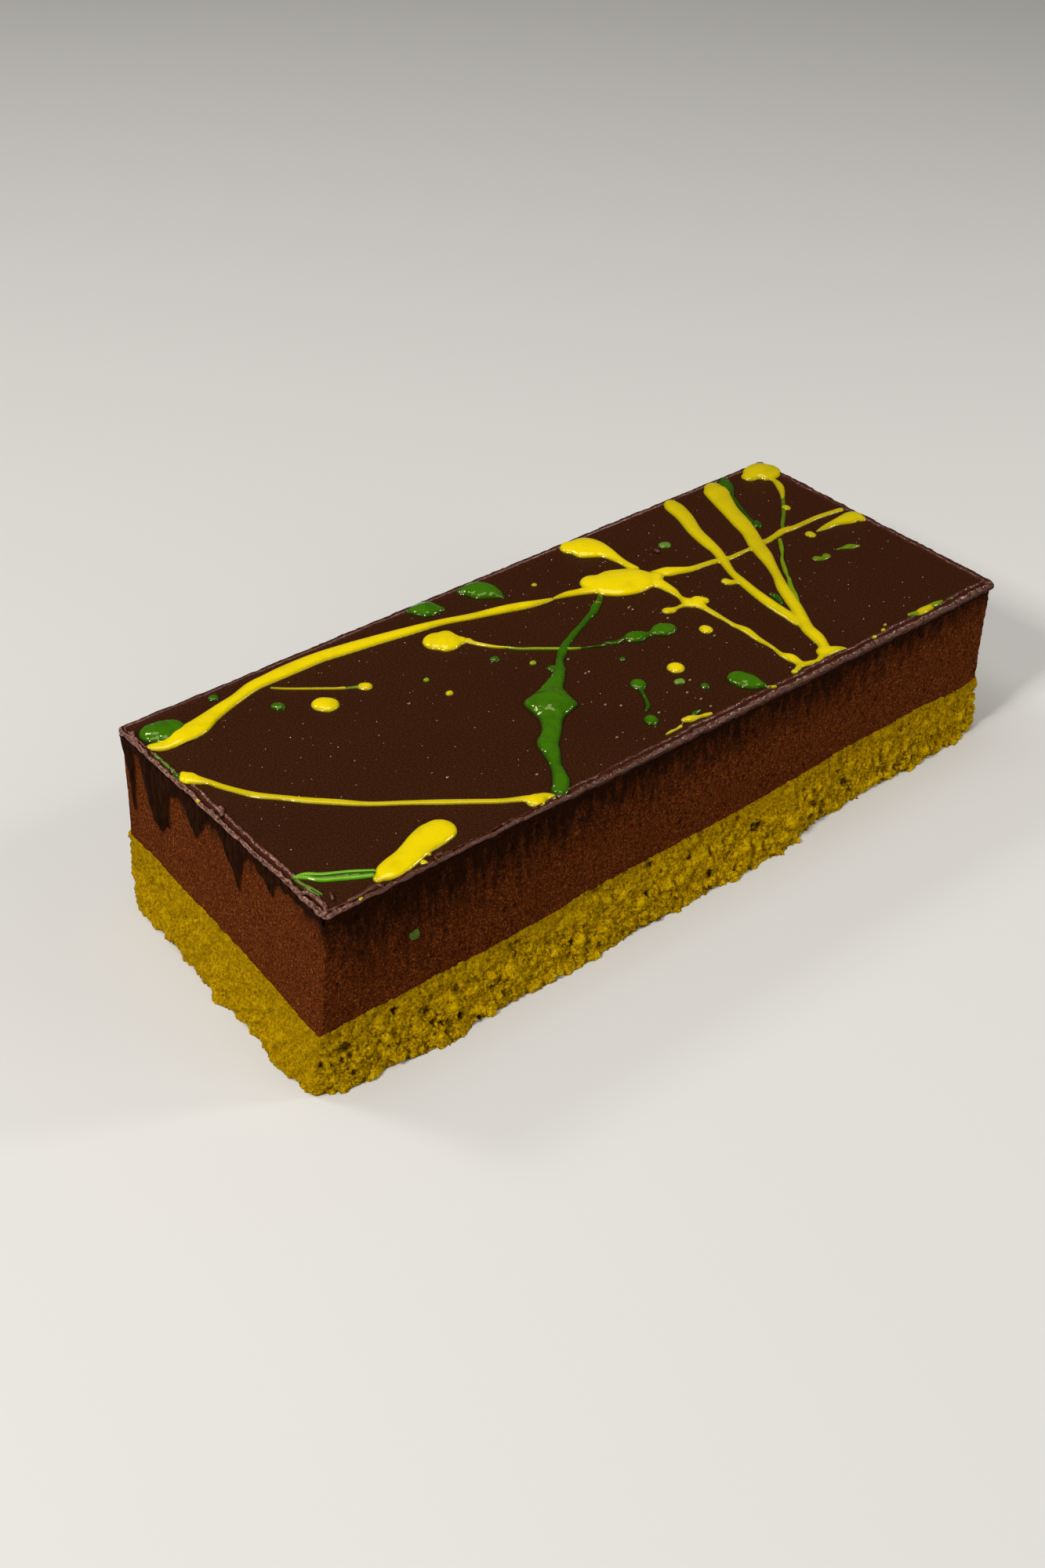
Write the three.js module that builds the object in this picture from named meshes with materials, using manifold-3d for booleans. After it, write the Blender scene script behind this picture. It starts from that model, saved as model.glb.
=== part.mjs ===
// A bar-shaped layer cake: a sponge base, a thick chocolate mousse, and a thin chocolate glaze with
// yellow and green drizzle thrown across it. Millimetres, +Z up. It stands on z = 0, centred on the
// origin, with its length along X and the long face that shows best at -Y.
import * as THREE from "three";
import { mergeVertices } from "three/addons/utils/BufferGeometryUtils.js";
import Module from "manifold-3d";

const wasm = await Module();
wasm.setup();

// ---- driving sizes -------------------------------------------------------------------------------
const HALF_LENGTH = 90; // of the plan outline, before the ends and sides lean
const HALF_WIDTH = 35;
const HEIGHT = 41; // from the foot to the top of the glaze's rim
const CORNER_RADIUS = 1; // of the knife-cut upright edges
const GAP = 0.3; // between layers that touch
const GLAZE_THICKNESS = 2.4; // in the middle of the top
const RIM_RADIUS = 0.9; // of the rolled edge round the glaze
const RIM_RISE = 0.6; // of the rolled edge above the glaze's middle
const MOUSSE_INSET = 0.4; // of the mousse's sides inside the rim

// Corners of the cut, anticlockwise from the near left, at the rim and at the foot: the ends lean out
// towards the foot, and no two corners are quite alike.
const RIM_CORNERS = [[-88.1, -35.1], [88.5, -35.9], [89.8, 36.9], [-86.8, 37.3]];
const FOOT_CORNERS = [[-92.4, -34.5], [91.5, -34], [90.8, 34.6], [-91, 33.7]];

// The sponge was baked a little thicker towards the back: its top is a sloping plane.
const SPONGE_MIDDLE = 15.6;
const SPONGE_SLOPE_X = 0.006;
const SPONGE_SLOPE_Y = 0.062;

// How far the crumbly sponge swells out at its foot, as [place along the side, swell].
const SWELL_FRONT = [[-90, 0.5], [-84, 3.5], [-60, 4.8], [-20, 4], [22, 5], [38, 2.4], [50, 1.4], [70, 2.9],
  [90, 0]];
const SWELL_BACK = [[-90, 0.5], [-72, 3.6], [-40, 4.6], [-6, 3.4], [30, 4.4], [62, 4.8], [80, 2.6], [90, 0]];
const SWELL_LEFT = [[-35, 0.8], [-27, 2], [-21, 1.6], [-16, 0.3], [-8, 1.2], [8, 0.4], [35, 0]];
const SWELL_RIGHT = [[-35, 0], [-18, 2], [4, 2.6], [22, 1.4], [35, 0.4]];

// Crumb relief: size of a lump and how far it stands out or sinks in.
const CRUMB_SIZE = 2.6;
const CRUMB_DEPTH = 0.75;
const CRUMB_TOP_SHARE = 0.4; // the crumb's depth at the sponge's top, as a share of that at its foot
const LUMP_SIZE = 9;
const LUMP_DEPTH = 0.6;
const MOUSSE_WAVE_SIZE = 12;
const MOUSSE_WAVE_DEPTH = 0.25;
const RIM_WAVE_SIZE = 4;
const RIM_WAVE_SHARE = 0.35;
const NOISE_WAVES = [127.1, 311.7, 74.7]; // any three that share no simple ratio
const NOISE_SPREAD = 43758.5453;

// Facet sizes: how far apart the points of an outline are, and how many rows a side has.
const SPONGE_SPACING = 2;
const SPONGE_ROWS = 7;
const MOUSSE_SPACING = 5;
const MOUSSE_ROWS = 4;
const RIM_SPACING = 4;
const RIM_SIDES = 7;
const STROKE_SIDES = 8;
const STROKE_SPACING = 2.8;

// Drizzle strokes on the glaze: each point is [x, y, half width].
const YELLOW_STROKES = {
  longArc: [[-83.5, 26.5, 2.9], [-79, 26.5, 3.2], [-74.5, 27, 2.9], [-65.5, 30, 2.4], [-57, 32.5, 2.1],
    [-48.5, 33, 1.9], [-34.5, 31.5, 1.6], [-20, 28, 1.4], [-8, 24.5, 1.3], [5.5, 20.5, 1.4], [18, 17, 1.8]],
  pool: [[22, 18, 4.4], [25.5, 15.5, 5.2], [29, 13.5, 4.4], [32, 11.5, 2.6]],
  pear: [[27, 31, 4.2], [29, 30, 4.8], [31, 27.5, 3.2], [31.5, 24, 1.8], [31, 19.5, 1.7], [31.5, 14.5, 2]],
  stream: [[32, 11, 2], [31.5, 6, 1.5], [30.5, 0.5, 1.7], [32, -3, 1.8], [31.5, -10, 1.1], [31.5, -15, 1],
    [31.5, -21.5, 1.1], [31.5, -27, 1.5], [31.5, -30.5, 1.7], [31, -33, 1]],
  streamDrops: [[25, -0.5, 1.4], [30.5, -1, 1.2], [34, -1.5, 1.4]],
  cross: [[34, 13, 1.4], [37, 11, 1.6], [41.5, 9.5, 1.3], [47, 8.5, 1.1], [53, 8, 1], [58, 7.5, 1],
    [65.5, 8, 1.1], [71, 9, 1.4], [77.5, 9, 1.2], [83, 8.5, 1.2], [87, 7.5, 1]],
  leftStroke: [[58, 32.8, 2.8], [57.5, 30.5, 2.6], [56, 27.5, 2], [52.5, 21, 1.6], [50.5, 14.5, 1.5],
    [48, 7.5, 1.4], [46, 1.5, 1.4], [44, -6, 1.4], [42.5, -13.5, 1.5], [42.5, -22, 1.6]],
  leftStrokeDrop: [[45.5, 1, 0.8], [42, 0.5, 1.4]],
  broad: [[69.5, 32.2, 3.2], [69.5, 30, 3.3], [68, 26, 2.7], [65, 19, 2.1], [63, 13, 1.9], [60, 7, 1.9],
    [56, -0.5, 1.7], [51.5, -8, 1.5], [47.5, -14, 1.5], [44, -20.5, 1.5], [41.5, -26.5, 1.6],
    [39.5, -31, 1.6]],
  footRight: [[39.5, -31, 1.8], [43, -34, 1.2]],
  footLeft: [[39.5, -31, 1.2], [36, -33, 1.1], [31.5, -33.5, 0.9]],
  cornerBlob: [[83.5, 31.8, 3.4], [85.5, 31.5, 4.1]],
  cornerTail: [[85.5, 28, 1.2], [83.5, 24, 1.2], [80.5, 20, 0.8], [77.5, 16.5, 1], [73.5, 12.5, 0.7],
    [71, 10, 0.7]],
  rightEdge: [[87.5, 1.5, 1.8], [86, 3, 1.7], [81, 3, 1.4], [76.5, 3, 1.1], [72, 3, 1.4]],
  roundDrop: [[-19.5, 21.5, 4], [-18, 20, 4]],
  lowerArc: [[-86, 16, 1], [-84.5, 12.5, 1.1], [-83, 8.5, 1.1], [-81, 3.5, 1], [-77.5, -1.5, 0.9],
    [-73.5, -5.5, 0.9], [-64.5, -13.5, 0.8], [-55, -21, 0.8], [-45.5, -28.5, 0.8], [-41, -31.5, 1.1],
    [-38.5, -33, 2]],
  nearBlob: [[-57.5, -29, 3.6], [-59.5, -28.5, 3.6], [-62, -29, 3.1], [-66.5, -30.5, 2.7], [-70.5, -32, 2.4],
    [-73.5, -32.5, 2.1]],
  streakBead: [[-42, 17.5, 1.8]],
  oval: [[-53, 18, 2.4], [-50.5, 16, 2.4]],
  dropFar: [[26, -10.5, 1.7]],
  dropNear: [[11, -17.5, 2.1]],
};
const GREEN_STROKES = {
  runner: [[16.5, 12.5, 1.3], [13, 11, 1.1], [9.5, 9.5, 0.9], [6.5, 7.5, 0.9], [3.5, 6.5, 1.1],
    [0.5, 4.5, 1.1], [-3.5, 2, 1.1], [-7, -1.5, 1.3], [-10, -4.5, 1.9], [-13.5, -7.5, 2.8],
    [-16.5, -10.5, 4.2], [-18.5, -12.5, 4], [-21.5, -16, 2.6], [-23.5, -18.5, 2.4], [-26, -21, 2.6],
    [-28, -25, 1.9], [-30, -28, 1.8], [-32, -31, 1.8], [-34, -34, 1.6]],
  leafRight: [[-2.5, 32, 3], [-0.5, 31, 3.5], [1.5, 30.5, 2.8]],
  leafLeft: [[-16.5, 32.8, 2.4], [-14, 32.3, 2.9], [-12, 32, 2.4]],
  leafNear: [[18.8, -27.4, 2.6], [19.2, -29, 2.9], [19.9, -30.8, 2.3], [20.8, -32.5, 1]],
  cornerPool: [[-82.5, 30.5, 3.2], [-81, 29.5, 3.6], [-79.5, 29.5, 3.2]],
  streak: [[-86, -24, 0.8], [-84, -25.5, 1], [-81, -27, 1.3], [-77.5, -29.5, 1.5], [-75, -31, 1.6]],
  bellTop: [[0.5, -17, 1.7]],
  bellLow: [[-6, -28, 1.5]],
  beadLeft: [[11.5, -3, 1.6], [13, -4, 1.6]],
  beadRight: [[16.5, -4, 1.5], [19, -5.5, 2], [20.5, -7, 1.4]],
  besideBroad: [[73.5, 32.5, 2], [73.5, 30, 1.7], [71.5, 26.5, 1], [69, 22, 0.9], [67.5, 18, 1],
    [66, 14.5, 1.3]],
  farDash: [[72.5, -5.5, 1], [74.5, -6, 1.2], [76, -7.5, 1]],
  rimDash: [[62.5, -33.8, 1], [66, -34, 1.1], [69, -34, 0.9]],
};
const STROKE_RISE_BASE = 0.4; // the rise of a stroke above the glaze grows with its half width
const STROKE_RISE_SHARE = 0.32;
const STROKE_RISE_MOST = 1.7;
const STROKE_SUNK = 0.5; // how far a stroke reaches down into the glaze
const STROKE_LIFT = -0.12; // of a stroke's widest line from the glaze's middle
const DROP_LENGTH = 0.1; // of a stroke that is given by one point only

// The glaze that ran down the left end: the lower edge of the runs, as [y, length below the rim].
const RUNS = [[34.8, 3], [33.2, 9], [31.2, 17.5], [30.2, 17.5], [29.8, 4], [28, 3], [26, 9.5], [23.6, 15.5],
  [20.5, 15.8], [17.4, 13], [16.6, 6], [14, 3.6], [11.4, 5], [9.6, 8], [6.8, 9.4], [3.4, 4.2], [1.6, 2.6],
  [-0.5, 3.6], [-3.8, 7.6], [-8.3, 12.4], [-9, 5.6], [-10.4, 3.2], [-14.4, 4.6], [-19, 7.4], [-20.2, 3.4],
  [-27, 2.8], [-34, 3]];
const RUN_TOP = 1.4; // the runs leave the glaze's edge this far below the rim
const RUN_THICKNESS = 0.7;
const RUN_SUNK = 1; // how far the runs reach in behind the mousse's face before they are cut to it

// ---- shared shape of the bar ---------------------------------------------------------------------
const clamp = THREE.MathUtils.clamp;
const lerp = THREE.MathUtils.lerp;
const GLAZE_TOP = HEIGHT - RIM_RISE;
const GLAZE_LOW = GLAZE_TOP - GLAZE_THICKNESS;
const MOUSSE_TOP = GLAZE_LOW - GAP;
const SLAB_INSET = RIM_RADIUS / 3;
const MERGE_WITHIN = 1e-4; // points of a solid closer than this are one point

/** Where a point of the plan outline lies at a height, between the foot's corners and the rim's. */
function place(planX, planY, z) {
  const u = planX / HALF_LENGTH;
  const v = planY / HALF_WIDTH;
  const up = z / HEIGHT;
  const shares = [(1 - u) * (1 - v), (1 + u) * (1 - v), (1 + u) * (1 + v), (1 - u) * (1 + v)];
  const spot = new THREE.Vector2();
  shares.forEach((share, corner) => {
    const [footX, footY] = FOOT_CORNERS[corner];
    const [rimX, rimY] = RIM_CORNERS[corner];
    spot.x += (share / 4) * lerp(footX, rimX, up);
    spot.y += (share / 4) * lerp(footY, rimY, up);
  });
  return spot;
}

/** The direction straight out of the plan outline's nearest side or rounded corner. */
function outward(planX, planY) {
  const reachX = Math.max(Math.abs(planX) - (HALF_LENGTH - CORNER_RADIUS), 0) * Math.sign(planX);
  const reachY = Math.max(Math.abs(planY) - (HALF_WIDTH - CORNER_RADIUS), 0) * Math.sign(planY);
  return new THREE.Vector2(reachX, reachY).normalize();
}

/** Points round the plan outline, anticlockwise: each corner's arc, then the side that follows it. */
function outlinePoints(spacing) {
  const points = [];
  const reach = new THREE.Vector2(HALF_LENGTH, HALF_WIDTH).subScalar(CORNER_RADIUS);
  [[1, -1], [1, 1], [-1, 1], [-1, -1]].forEach(([toX, toY], corner) => {
    const centre = new THREE.Vector2(toX, toY).multiply(reach);
    const arc = [-Math.PI / 2, -Math.PI / 4, 0].map((turn) => {
      const angle = turn + (corner * Math.PI) / 2;
      return new THREE.Vector2(Math.cos(angle), Math.sin(angle)).multiplyScalar(CORNER_RADIUS).add(centre);
    });
    const sideLength = 2 * ((corner % 2 ? HALF_LENGTH : HALF_WIDTH) - CORNER_RADIUS);
    const way = ((corner + 1) * Math.PI) / 2;
    const ahead = new THREE.Vector2(Math.cos(way), Math.sin(way));
    const steps = Math.round(sideLength / spacing);
    points.push(...arc);
    for (let step = 1; step < steps; step += 1) {
      points.push(arc[2].clone().addScaledVector(ahead, (sideLength * step) / steps));
    }
  });
  return points;
}

/** Which of a ring's points a turn about the axis belongs to. */
function ringPoint(points, sine, cosine) {
  const share = Math.atan2(sine, cosine) / (2 * Math.PI) + 1;
  return points[Math.round(share * points.length) % points.length];
}

function spongeTop(x, y) {
  return SPONGE_MIDDLE + SPONGE_SLOPE_X * x + SPONGE_SLOPE_Y * y;
}

/** A repeatable random number from 0 to 1 for each point of a whole-number grid. */
function gridNoise(i, j, k) {
  const wave = Math.sin(i * NOISE_WAVES[0] + j * NOISE_WAVES[1] + k * NOISE_WAVES[2]) * NOISE_SPREAD;
  return wave - Math.floor(wave);
}

/** Smooth noise from -1 to 1 at a place, with features of about the given size. */
function noise(x, y, z, size) {
  const at = [x / size, y / size, z / size];
  const low = at.map(Math.floor);
  const [a, b, c] = at.map((value, axis) => THREE.MathUtils.smoothstep(value - low[axis], 0, 1));
  const [i, j, k] = low;
  const edge = (dj, dk) => lerp(gridNoise(i, j + dj, k + dk), gridNoise(i + 1, j + dj, k + dk), a);
  return 2 * lerp(lerp(edge(0, 0), edge(1, 0), b), lerp(edge(0, 1), edge(1, 1), b), c) - 1;
}

/** The value of a list of [place, value] at a place, joined by straight lines. */
function along(list, at) {
  const next = clamp(list.findIndex(([spot]) => spot >= at), 1, list.length - 1);
  const [[fromAt, from], [toAt, to]] = [list[next - 1], list[next]];
  return lerp(from, to, clamp((at - fromAt) / (toAt - fromAt), 0, 1));
}

// ---- solids --------------------------------------------------------------------------------------
/** A closed geometry as a manifold-3d solid. */
function solid(geometry) {
  const bare = geometry.clone();
  bare.deleteAttribute("normal");
  bare.deleteAttribute("uv");
  const merged = mergeVertices(bare, MERGE_WITHIN);
  const vertProperties = new Float32Array(merged.attributes.position.array);
  const triVerts = new Uint32Array(merged.index.array);
  return new wasm.Manifold(new wasm.Mesh({ numProp: 3, vertProperties, triVerts }));
}

/** A manifold-3d solid as a geometry for a mesh. */
function geometryOf(body) {
  const mesh = body.getMesh();
  const geometry = new THREE.BufferGeometry();
  geometry.setAttribute("position", new THREE.BufferAttribute(mesh.vertProperties, 3));
  geometry.setIndex(new THREE.BufferAttribute(mesh.triVerts, 1));
  geometry.computeVertexNormals();
  return geometry;
}

/** Moves every point of a geometry to where the rule says. */
function reshape(geometry, rule) {
  const position = geometry.attributes.position;
  const point = new THREE.Vector3();
  for (let i = 0; i < position.count; i += 1) {
    point.fromBufferAttribute(position, i);
    position.setXYZ(i, ...rule(point));
  }
  return geometry;
}

/**
 * One layer of the bar. low and high give its faces' heights at a place, and out gives how far its
 * side stands out there, at a share of the layer's height. It is a lathe's ring with its faces closed
 * at the middle, drawn out to the plan outline.
 */
function layer({ spacing, rows, low, high, out }) {
  const outline = outlinePoints(spacing);
  const side = Array.from({ length: rows + 1 }, (_, row) => new THREE.Vector2(1, row / rows));
  const profile = [new THREE.Vector2(0, 0), ...side, new THREE.Vector2(0, 1)];
  return reshape(new THREE.LatheGeometry(profile, outline.length), (point) => {
    const onSide = Math.round(Math.hypot(point.x, point.z));
    const plan = ringPoint(outline, point.x, point.z).clone().multiplyScalar(onSide);
    const z = lerp(low(plan.x, plan.y), high(plan.x, plan.y), point.y);
    const spot = place(plan.x, plan.y, z);
    spot.addScaledVector(outward(plan.x, plan.y), onSide * out(plan.x, plan.y, z, point.y));
    return [spot.x, spot.y, z];
  });
}

/** How far the sponge's foot swells out on the side that a plan point lies on. */
function footSwell(planX, planY) {
  const direction = outward(planX, planY);
  const side = along(direction.y < 0 ? SWELL_FRONT : SWELL_BACK, planX);
  const end = along(direction.x < 0 ? SWELL_LEFT : SWELL_RIGHT, planY);
  return side * direction.y ** 2 + end * direction.x ** 2;
}

function sponge() {
  return layer({
    spacing: SPONGE_SPACING,
    rows: SPONGE_ROWS,
    low: () => 0,
    high: spongeTop,
    out: (x, y, z, share) => {
      const crumb = CRUMB_DEPTH * noise(x, y, z, CRUMB_SIZE) + LUMP_DEPTH * noise(x, y, z, LUMP_SIZE);
      return footSwell(x, y) * (1 - share) + crumb * lerp(1, CRUMB_TOP_SHARE, share);
    },
  });
}

function mousse(standOff) {
  return layer({
    spacing: MOUSSE_SPACING,
    rows: MOUSSE_ROWS,
    low: (x, y) => spongeTop(x, y) + GAP - standOff,
    high: () => MOUSSE_TOP + standOff,
    out: (x, y, z) => standOff - MOUSSE_INSET + MOUSSE_WAVE_DEPTH * noise(x, y, z, MOUSSE_WAVE_SIZE),
  });
}

function glazeSlab() {
  return layer({
    spacing: MOUSSE_SPACING,
    rows: 1,
    low: () => GLAZE_LOW,
    high: () => GLAZE_TOP,
    out: () => -SLAB_INSET,
  });
}

/** The glaze's edge, rolled over the cut: a ring whose section swells and thins along the outline. */
function glazeRim() {
  const outline = outlinePoints(RIM_SPACING);
  const ringRadius = 10;
  const ring = new THREE.TorusGeometry(ringRadius, 1, RIM_SIDES, outline.length);
  return reshape(ring, (point) => {
    const plan = ringPoint(outline, point.y, point.x);
    const size = RIM_RADIUS * (1 + RIM_WAVE_SHARE * noise(plan.x, plan.y, 0, RIM_WAVE_SIZE));
    const spot = place(plan.x, plan.y, HEIGHT);
    const across = size * (Math.hypot(point.x, point.y) - ringRadius) - RIM_RADIUS;
    spot.addScaledVector(outward(plan.x, plan.y), across);
    return [spot.x, spot.y, HEIGHT - RIM_RADIUS + size * point.z];
  });
}

/** The rings of a stroke: how far along it each lies, and its share of the full width there. */
function strokeStations(length, startRadius, endRadius) {
  const capTurns = [0, Math.PI / 4];
  const middleSteps = Math.max(1, Math.round(length / STROKE_SPACING));
  const start = capTurns.map((turn) => [-startRadius * Math.cos(turn), Math.sin(turn)]);
  const middle = Array.from({ length: middleSteps + 1 }, (_, i) => [(length * i) / middleSteps, 1]);
  const end = capTurns.map((turn) => [length + endRadius * Math.cos(turn), Math.sin(turn)]).reverse();
  return [...start, ...middle, ...end];
}

/** A raised stroke of drizzle on the glaze: a long low dome with round ends, through its points. */
function stroke(points) {
  const [x, y, halfWidth] = points[0];
  const doubled = points.length > 1 ? points : [points[0], [x + DROP_LENGTH, y, halfWidth]];
  const spots = doubled.map((point) => new THREE.Vector3(...point));
  const route = new THREE.CatmullRomCurve3(spots, false, "centripetal");
  const length = route.getLength();
  const stations = strokeStations(length, doubled[0][2], doubled.at(-1)[2]);
  const rings = stations.length - 1;
  return reshape(new THREE.SphereGeometry(1, STROKE_SIDES, rings), (point) => {
    const ring = Math.round((Math.acos(clamp(point.y, -1, 1)) / Math.PI) * rings);
    const [distance, share] = stations[ring];
    const at = route.getPointAt(clamp(distance / length, 0, 1));
    const ahead = route.getTangentAt(clamp(distance / length, 0, 1)).setZ(0).normalize();
    const past = distance - clamp(distance, 0, length);
    const spread = Math.hypot(point.x, point.z) || 1;
    const side = (share * at.z * point.x) / spread;
    const rise = Math.min(STROKE_RISE_BASE + STROKE_RISE_SHARE * at.z, STROKE_RISE_MOST);
    const lift = (share * (point.z < 0 ? STROKE_SUNK : rise) * point.z) / spread;
    return [
      at.x + ahead.x * past - ahead.y * side,
      at.y + ahead.y * past + ahead.x * side,
      GLAZE_TOP + STROKE_LIFT + lift,
    ];
  });
}

/** The glaze that ran down the left end, as one thin apron with tongues, against the mousse. */
function endRuns() {
  const first = RUNS[0];
  const last = RUNS.at(-1);
  const outline = [[last[0], RUN_TOP], [first[0], RUN_TOP], ...RUNS];
  const shape = new THREE.Shape(outline.map(([y, drop]) => new THREE.Vector2(y, HEIGHT - drop)));
  const apron = new THREE.ExtrudeGeometry(shape, { depth: 1, steps: 1, bevelEnabled: false });
  return reshape(apron, (point) => {
    const face = place(-HALF_LENGTH, point.x, point.y);
    const inner = face.x + MOUSSE_INSET + RUN_SUNK;
    const outer = face.x + MOUSSE_INSET - GAP - RUN_THICKNESS;
    return [lerp(outer, inner, point.z), point.x, point.y];
  });
}

/** The glaze in one piece, clear of the mousse. Scraps that the cut leaves loose are dropped. */
function glaze() {
  const strokes = [...Object.values(YELLOW_STROKES), ...Object.values(GREEN_STROKES)];
  const whole = [glazeSlab(), glazeRim(), endRuns(), ...strokes.map(stroke)]
    .map(solid)
    .reduce((sum, body) => sum.add(body));
  const pieces = whole.subtract(solid(mousse(GAP))).decompose();
  return pieces.reduce((most, piece) => (piece.volume() > most.volume() ? piece : most));
}

// ---- the cake ------------------------------------------------------------------------------------
function part(name, geometry, color, roughness) {
  const mesh = new THREE.Mesh(geometry, new THREE.MeshStandardMaterial({ color, roughness, metalness: 0 }));
  mesh.name = name;
  return mesh;
}

const cake = new THREE.Group();
cake.add(part("sponge_base", geometryOf(solid(sponge())), "#957602", 0.95));
cake.add(part("chocolate_mousse", geometryOf(solid(mousse(0))), "#4b2206", 0.85));
cake.add(part("chocolate_glaze", geometryOf(glaze()), "#3a1f10", 0.35));

export default cake;
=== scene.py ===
# %% [markdown]
# # A layered mousse cake bar
# This lesson dresses a plain CAD model of a cake bar. The CAD solids are the frame: they fix where the
# sponge, the mousse and the glaze lie, and nothing here may change those sizes.
# Each layer gets a finer mesh of its own that stands in for its solid, and a material of its own.

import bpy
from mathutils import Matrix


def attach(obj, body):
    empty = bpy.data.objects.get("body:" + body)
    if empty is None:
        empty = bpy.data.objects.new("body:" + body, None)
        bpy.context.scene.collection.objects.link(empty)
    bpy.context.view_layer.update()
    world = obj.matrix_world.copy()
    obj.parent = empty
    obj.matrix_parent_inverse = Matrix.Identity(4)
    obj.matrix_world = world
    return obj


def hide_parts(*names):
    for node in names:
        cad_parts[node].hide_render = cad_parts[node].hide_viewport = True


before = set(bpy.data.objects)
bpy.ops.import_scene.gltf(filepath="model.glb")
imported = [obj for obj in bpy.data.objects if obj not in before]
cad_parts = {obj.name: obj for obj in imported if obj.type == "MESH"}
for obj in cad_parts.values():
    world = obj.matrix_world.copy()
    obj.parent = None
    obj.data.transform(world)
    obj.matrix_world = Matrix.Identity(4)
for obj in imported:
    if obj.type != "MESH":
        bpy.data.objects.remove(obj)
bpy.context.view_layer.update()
print("CAD nodes:", sorted(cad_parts))

# %% Modules
import math

import bpy
import numpy as np

print("Blender", bpy.app.version_string)

# %% [markdown]
# ## Helpers
# Colours are written as the sRGB hex values that a colour picker shows, but Blender's sockets want linear
# light, so one function turns them. Another adds a node with its settings and links, which keeps the
# node trees below readable: every tree in this lesson is built with it. The kinds of node that come up
# most often have short names.

# %% Colours and nodes
MM = 0.001  # the sizes below are in millimetres, and Blender works in metres
NOISE, RANGE, MARK = "ShaderNodeTexNoise", "ShaderNodeMapRange", "ShaderNodeAttribute"
MATH, VECTORS, AXES = "ShaderNodeMath", "ShaderNodeVectorMath", "ShaderNodeSeparateXYZ"


def linear(hex_colour):
    """An sRGB hex colour as linear red, green, blue and alpha."""
    values = [int(hex_colour[start:start + 2], 16) / 255 for start in (1, 3, 5)]
    return (*(v / 12.92 if v <= 0.04045 else ((v + 0.055) / 1.055) ** 2.4 for v in values), 1)


def add(tree, kind, *values, **settings):
    """Adds a node. Values go to its inputs in order, or by name where they come in a dictionary. Each is
    a number, a socket, a node (then its first output in use) or a list of nodes."""
    made = tree.nodes.new(kind)
    for name, value in settings.items():
        setattr(made, name, value)
    inputs = {}
    for order, value in enumerate(values):
        inputs.update(value if isinstance(value, dict) else {order: value})
    for key, value in inputs.items():
        for source in value if isinstance(value, list) else [value]:
            if isinstance(source, bpy.types.Node):
                source = next(socket for socket in source.outputs if socket.enabled)
            if isinstance(source, bpy.types.NodeSocket):
                tree.links.new(source, made.inputs[key])
            else:
                made.inputs[key].default_value = source
    return made


print("#808080 in linear light:", round(linear("#808080")[0], 3))

# %% [markdown]
# ## Objects and meshes
# An object only says where its data goes, and it shows once it is linked to the scene. Every mesh here is
# written from points in millimetres. It can carry marks: named attributes with one value for each point,
# which the trees and materials below read.

# %% Objects with their data
def put(name, data):
    """A new object in the scene."""
    made = bpy.data.objects.new(name, data)
    bpy.context.scene.collection.objects.link(made)
    return made


def new_piece(name, points, edges=(), faces=(), marks=()):
    """An object with a mesh of points in mm. marks are attributes: one value for each point."""
    mesh = bpy.data.meshes.new(name)
    mesh.from_pydata((np.array(points) * MM).tolist(), edges, faces)
    for mark, values in dict(marks).items():
        mesh.attributes.new(mark, "FLOAT", "POINT").data.foreach_set("value", values.astype(np.float32))
    return put(name, mesh)


# %% [markdown]
# ## Geometry Nodes in a script
# A tree is a recipe with named inputs. The modifier that runs it keeps each input under the socket's
# identifier, not its name, so the values are set by identifier before the tree first runs. What comes out
# is then kept as a plain mesh, because a finished piece carries no live tree.

# %% Tree helpers
def new_tree(name, sizes):
    """A Geometry Nodes tree with one named input for each size, and the outputs of its input node."""
    tree = bpy.data.node_groups.new(name, "GeometryNodeTree")
    tree.interface.new_socket("Geometry", in_out="INPUT", socket_type="NodeSocketGeometry")
    for size in sizes:
        tree.interface.new_socket(size, in_out="INPUT", socket_type="NodeSocketFloat")
    tree.interface.new_socket("Material", in_out="INPUT", socket_type="NodeSocketMaterial")
    tree.interface.new_socket("Geometry", in_out="OUTPUT", socket_type="NodeSocketGeometry")
    return tree, tree.nodes.new("NodeGroupInput").outputs


def end_tree(tree, geometry, material):
    """Ends a tree: instances become real mesh, and the material is set."""
    real = add(tree, "GeometryNodeRealizeInstances", {"Geometry": geometry})
    painted = add(tree, "GeometryNodeSetMaterial", {"Geometry": real, "Material": material})
    add(tree, "NodeGroupOutput", {"Geometry": painted})


def run_tree(piece, tree, values):
    """Puts a tree on a piece, with its inputs set by the sockets' identifiers."""
    modifier = piece.modifiers.new(tree.name, "NODES")
    modifier.node_group = tree
    for socket in tree.interface.items_tree:
        if socket.in_out == "INPUT" and socket.name in values:
            modifier[socket.identifier] = values[socket.name]


def keep_plain(piece, *materials):
    """Swaps a piece's mesh for what its modifiers make, and gives it its materials."""
    graph = bpy.context.evaluated_depsgraph_get()
    made = bpy.data.meshes.new_from_object(piece.evaluated_get(graph), depsgraph=graph)
    piece.modifiers.clear()
    piece.data = made
    made.name = piece.name
    worn = np.zeros(len(made.polygons), np.int32)
    made.polygons.foreach_get("material_index", worn)
    made.materials.clear()
    for material in materials:
        made.materials.append(material)
    made.polygons.foreach_set("material_index", np.minimum(worn, len(materials) - 1))
    made.shade_smooth()
    made.calc_loop_triangles()
    print(f"{piece.name}: {len(made.loop_triangles)} triangles")
    return piece


def finish_piece(piece, node_name):
    """Hangs a finished piece on the root body and hides the CAD solid that it stands for."""
    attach(piece, "root")
    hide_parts(node_name)


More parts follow.
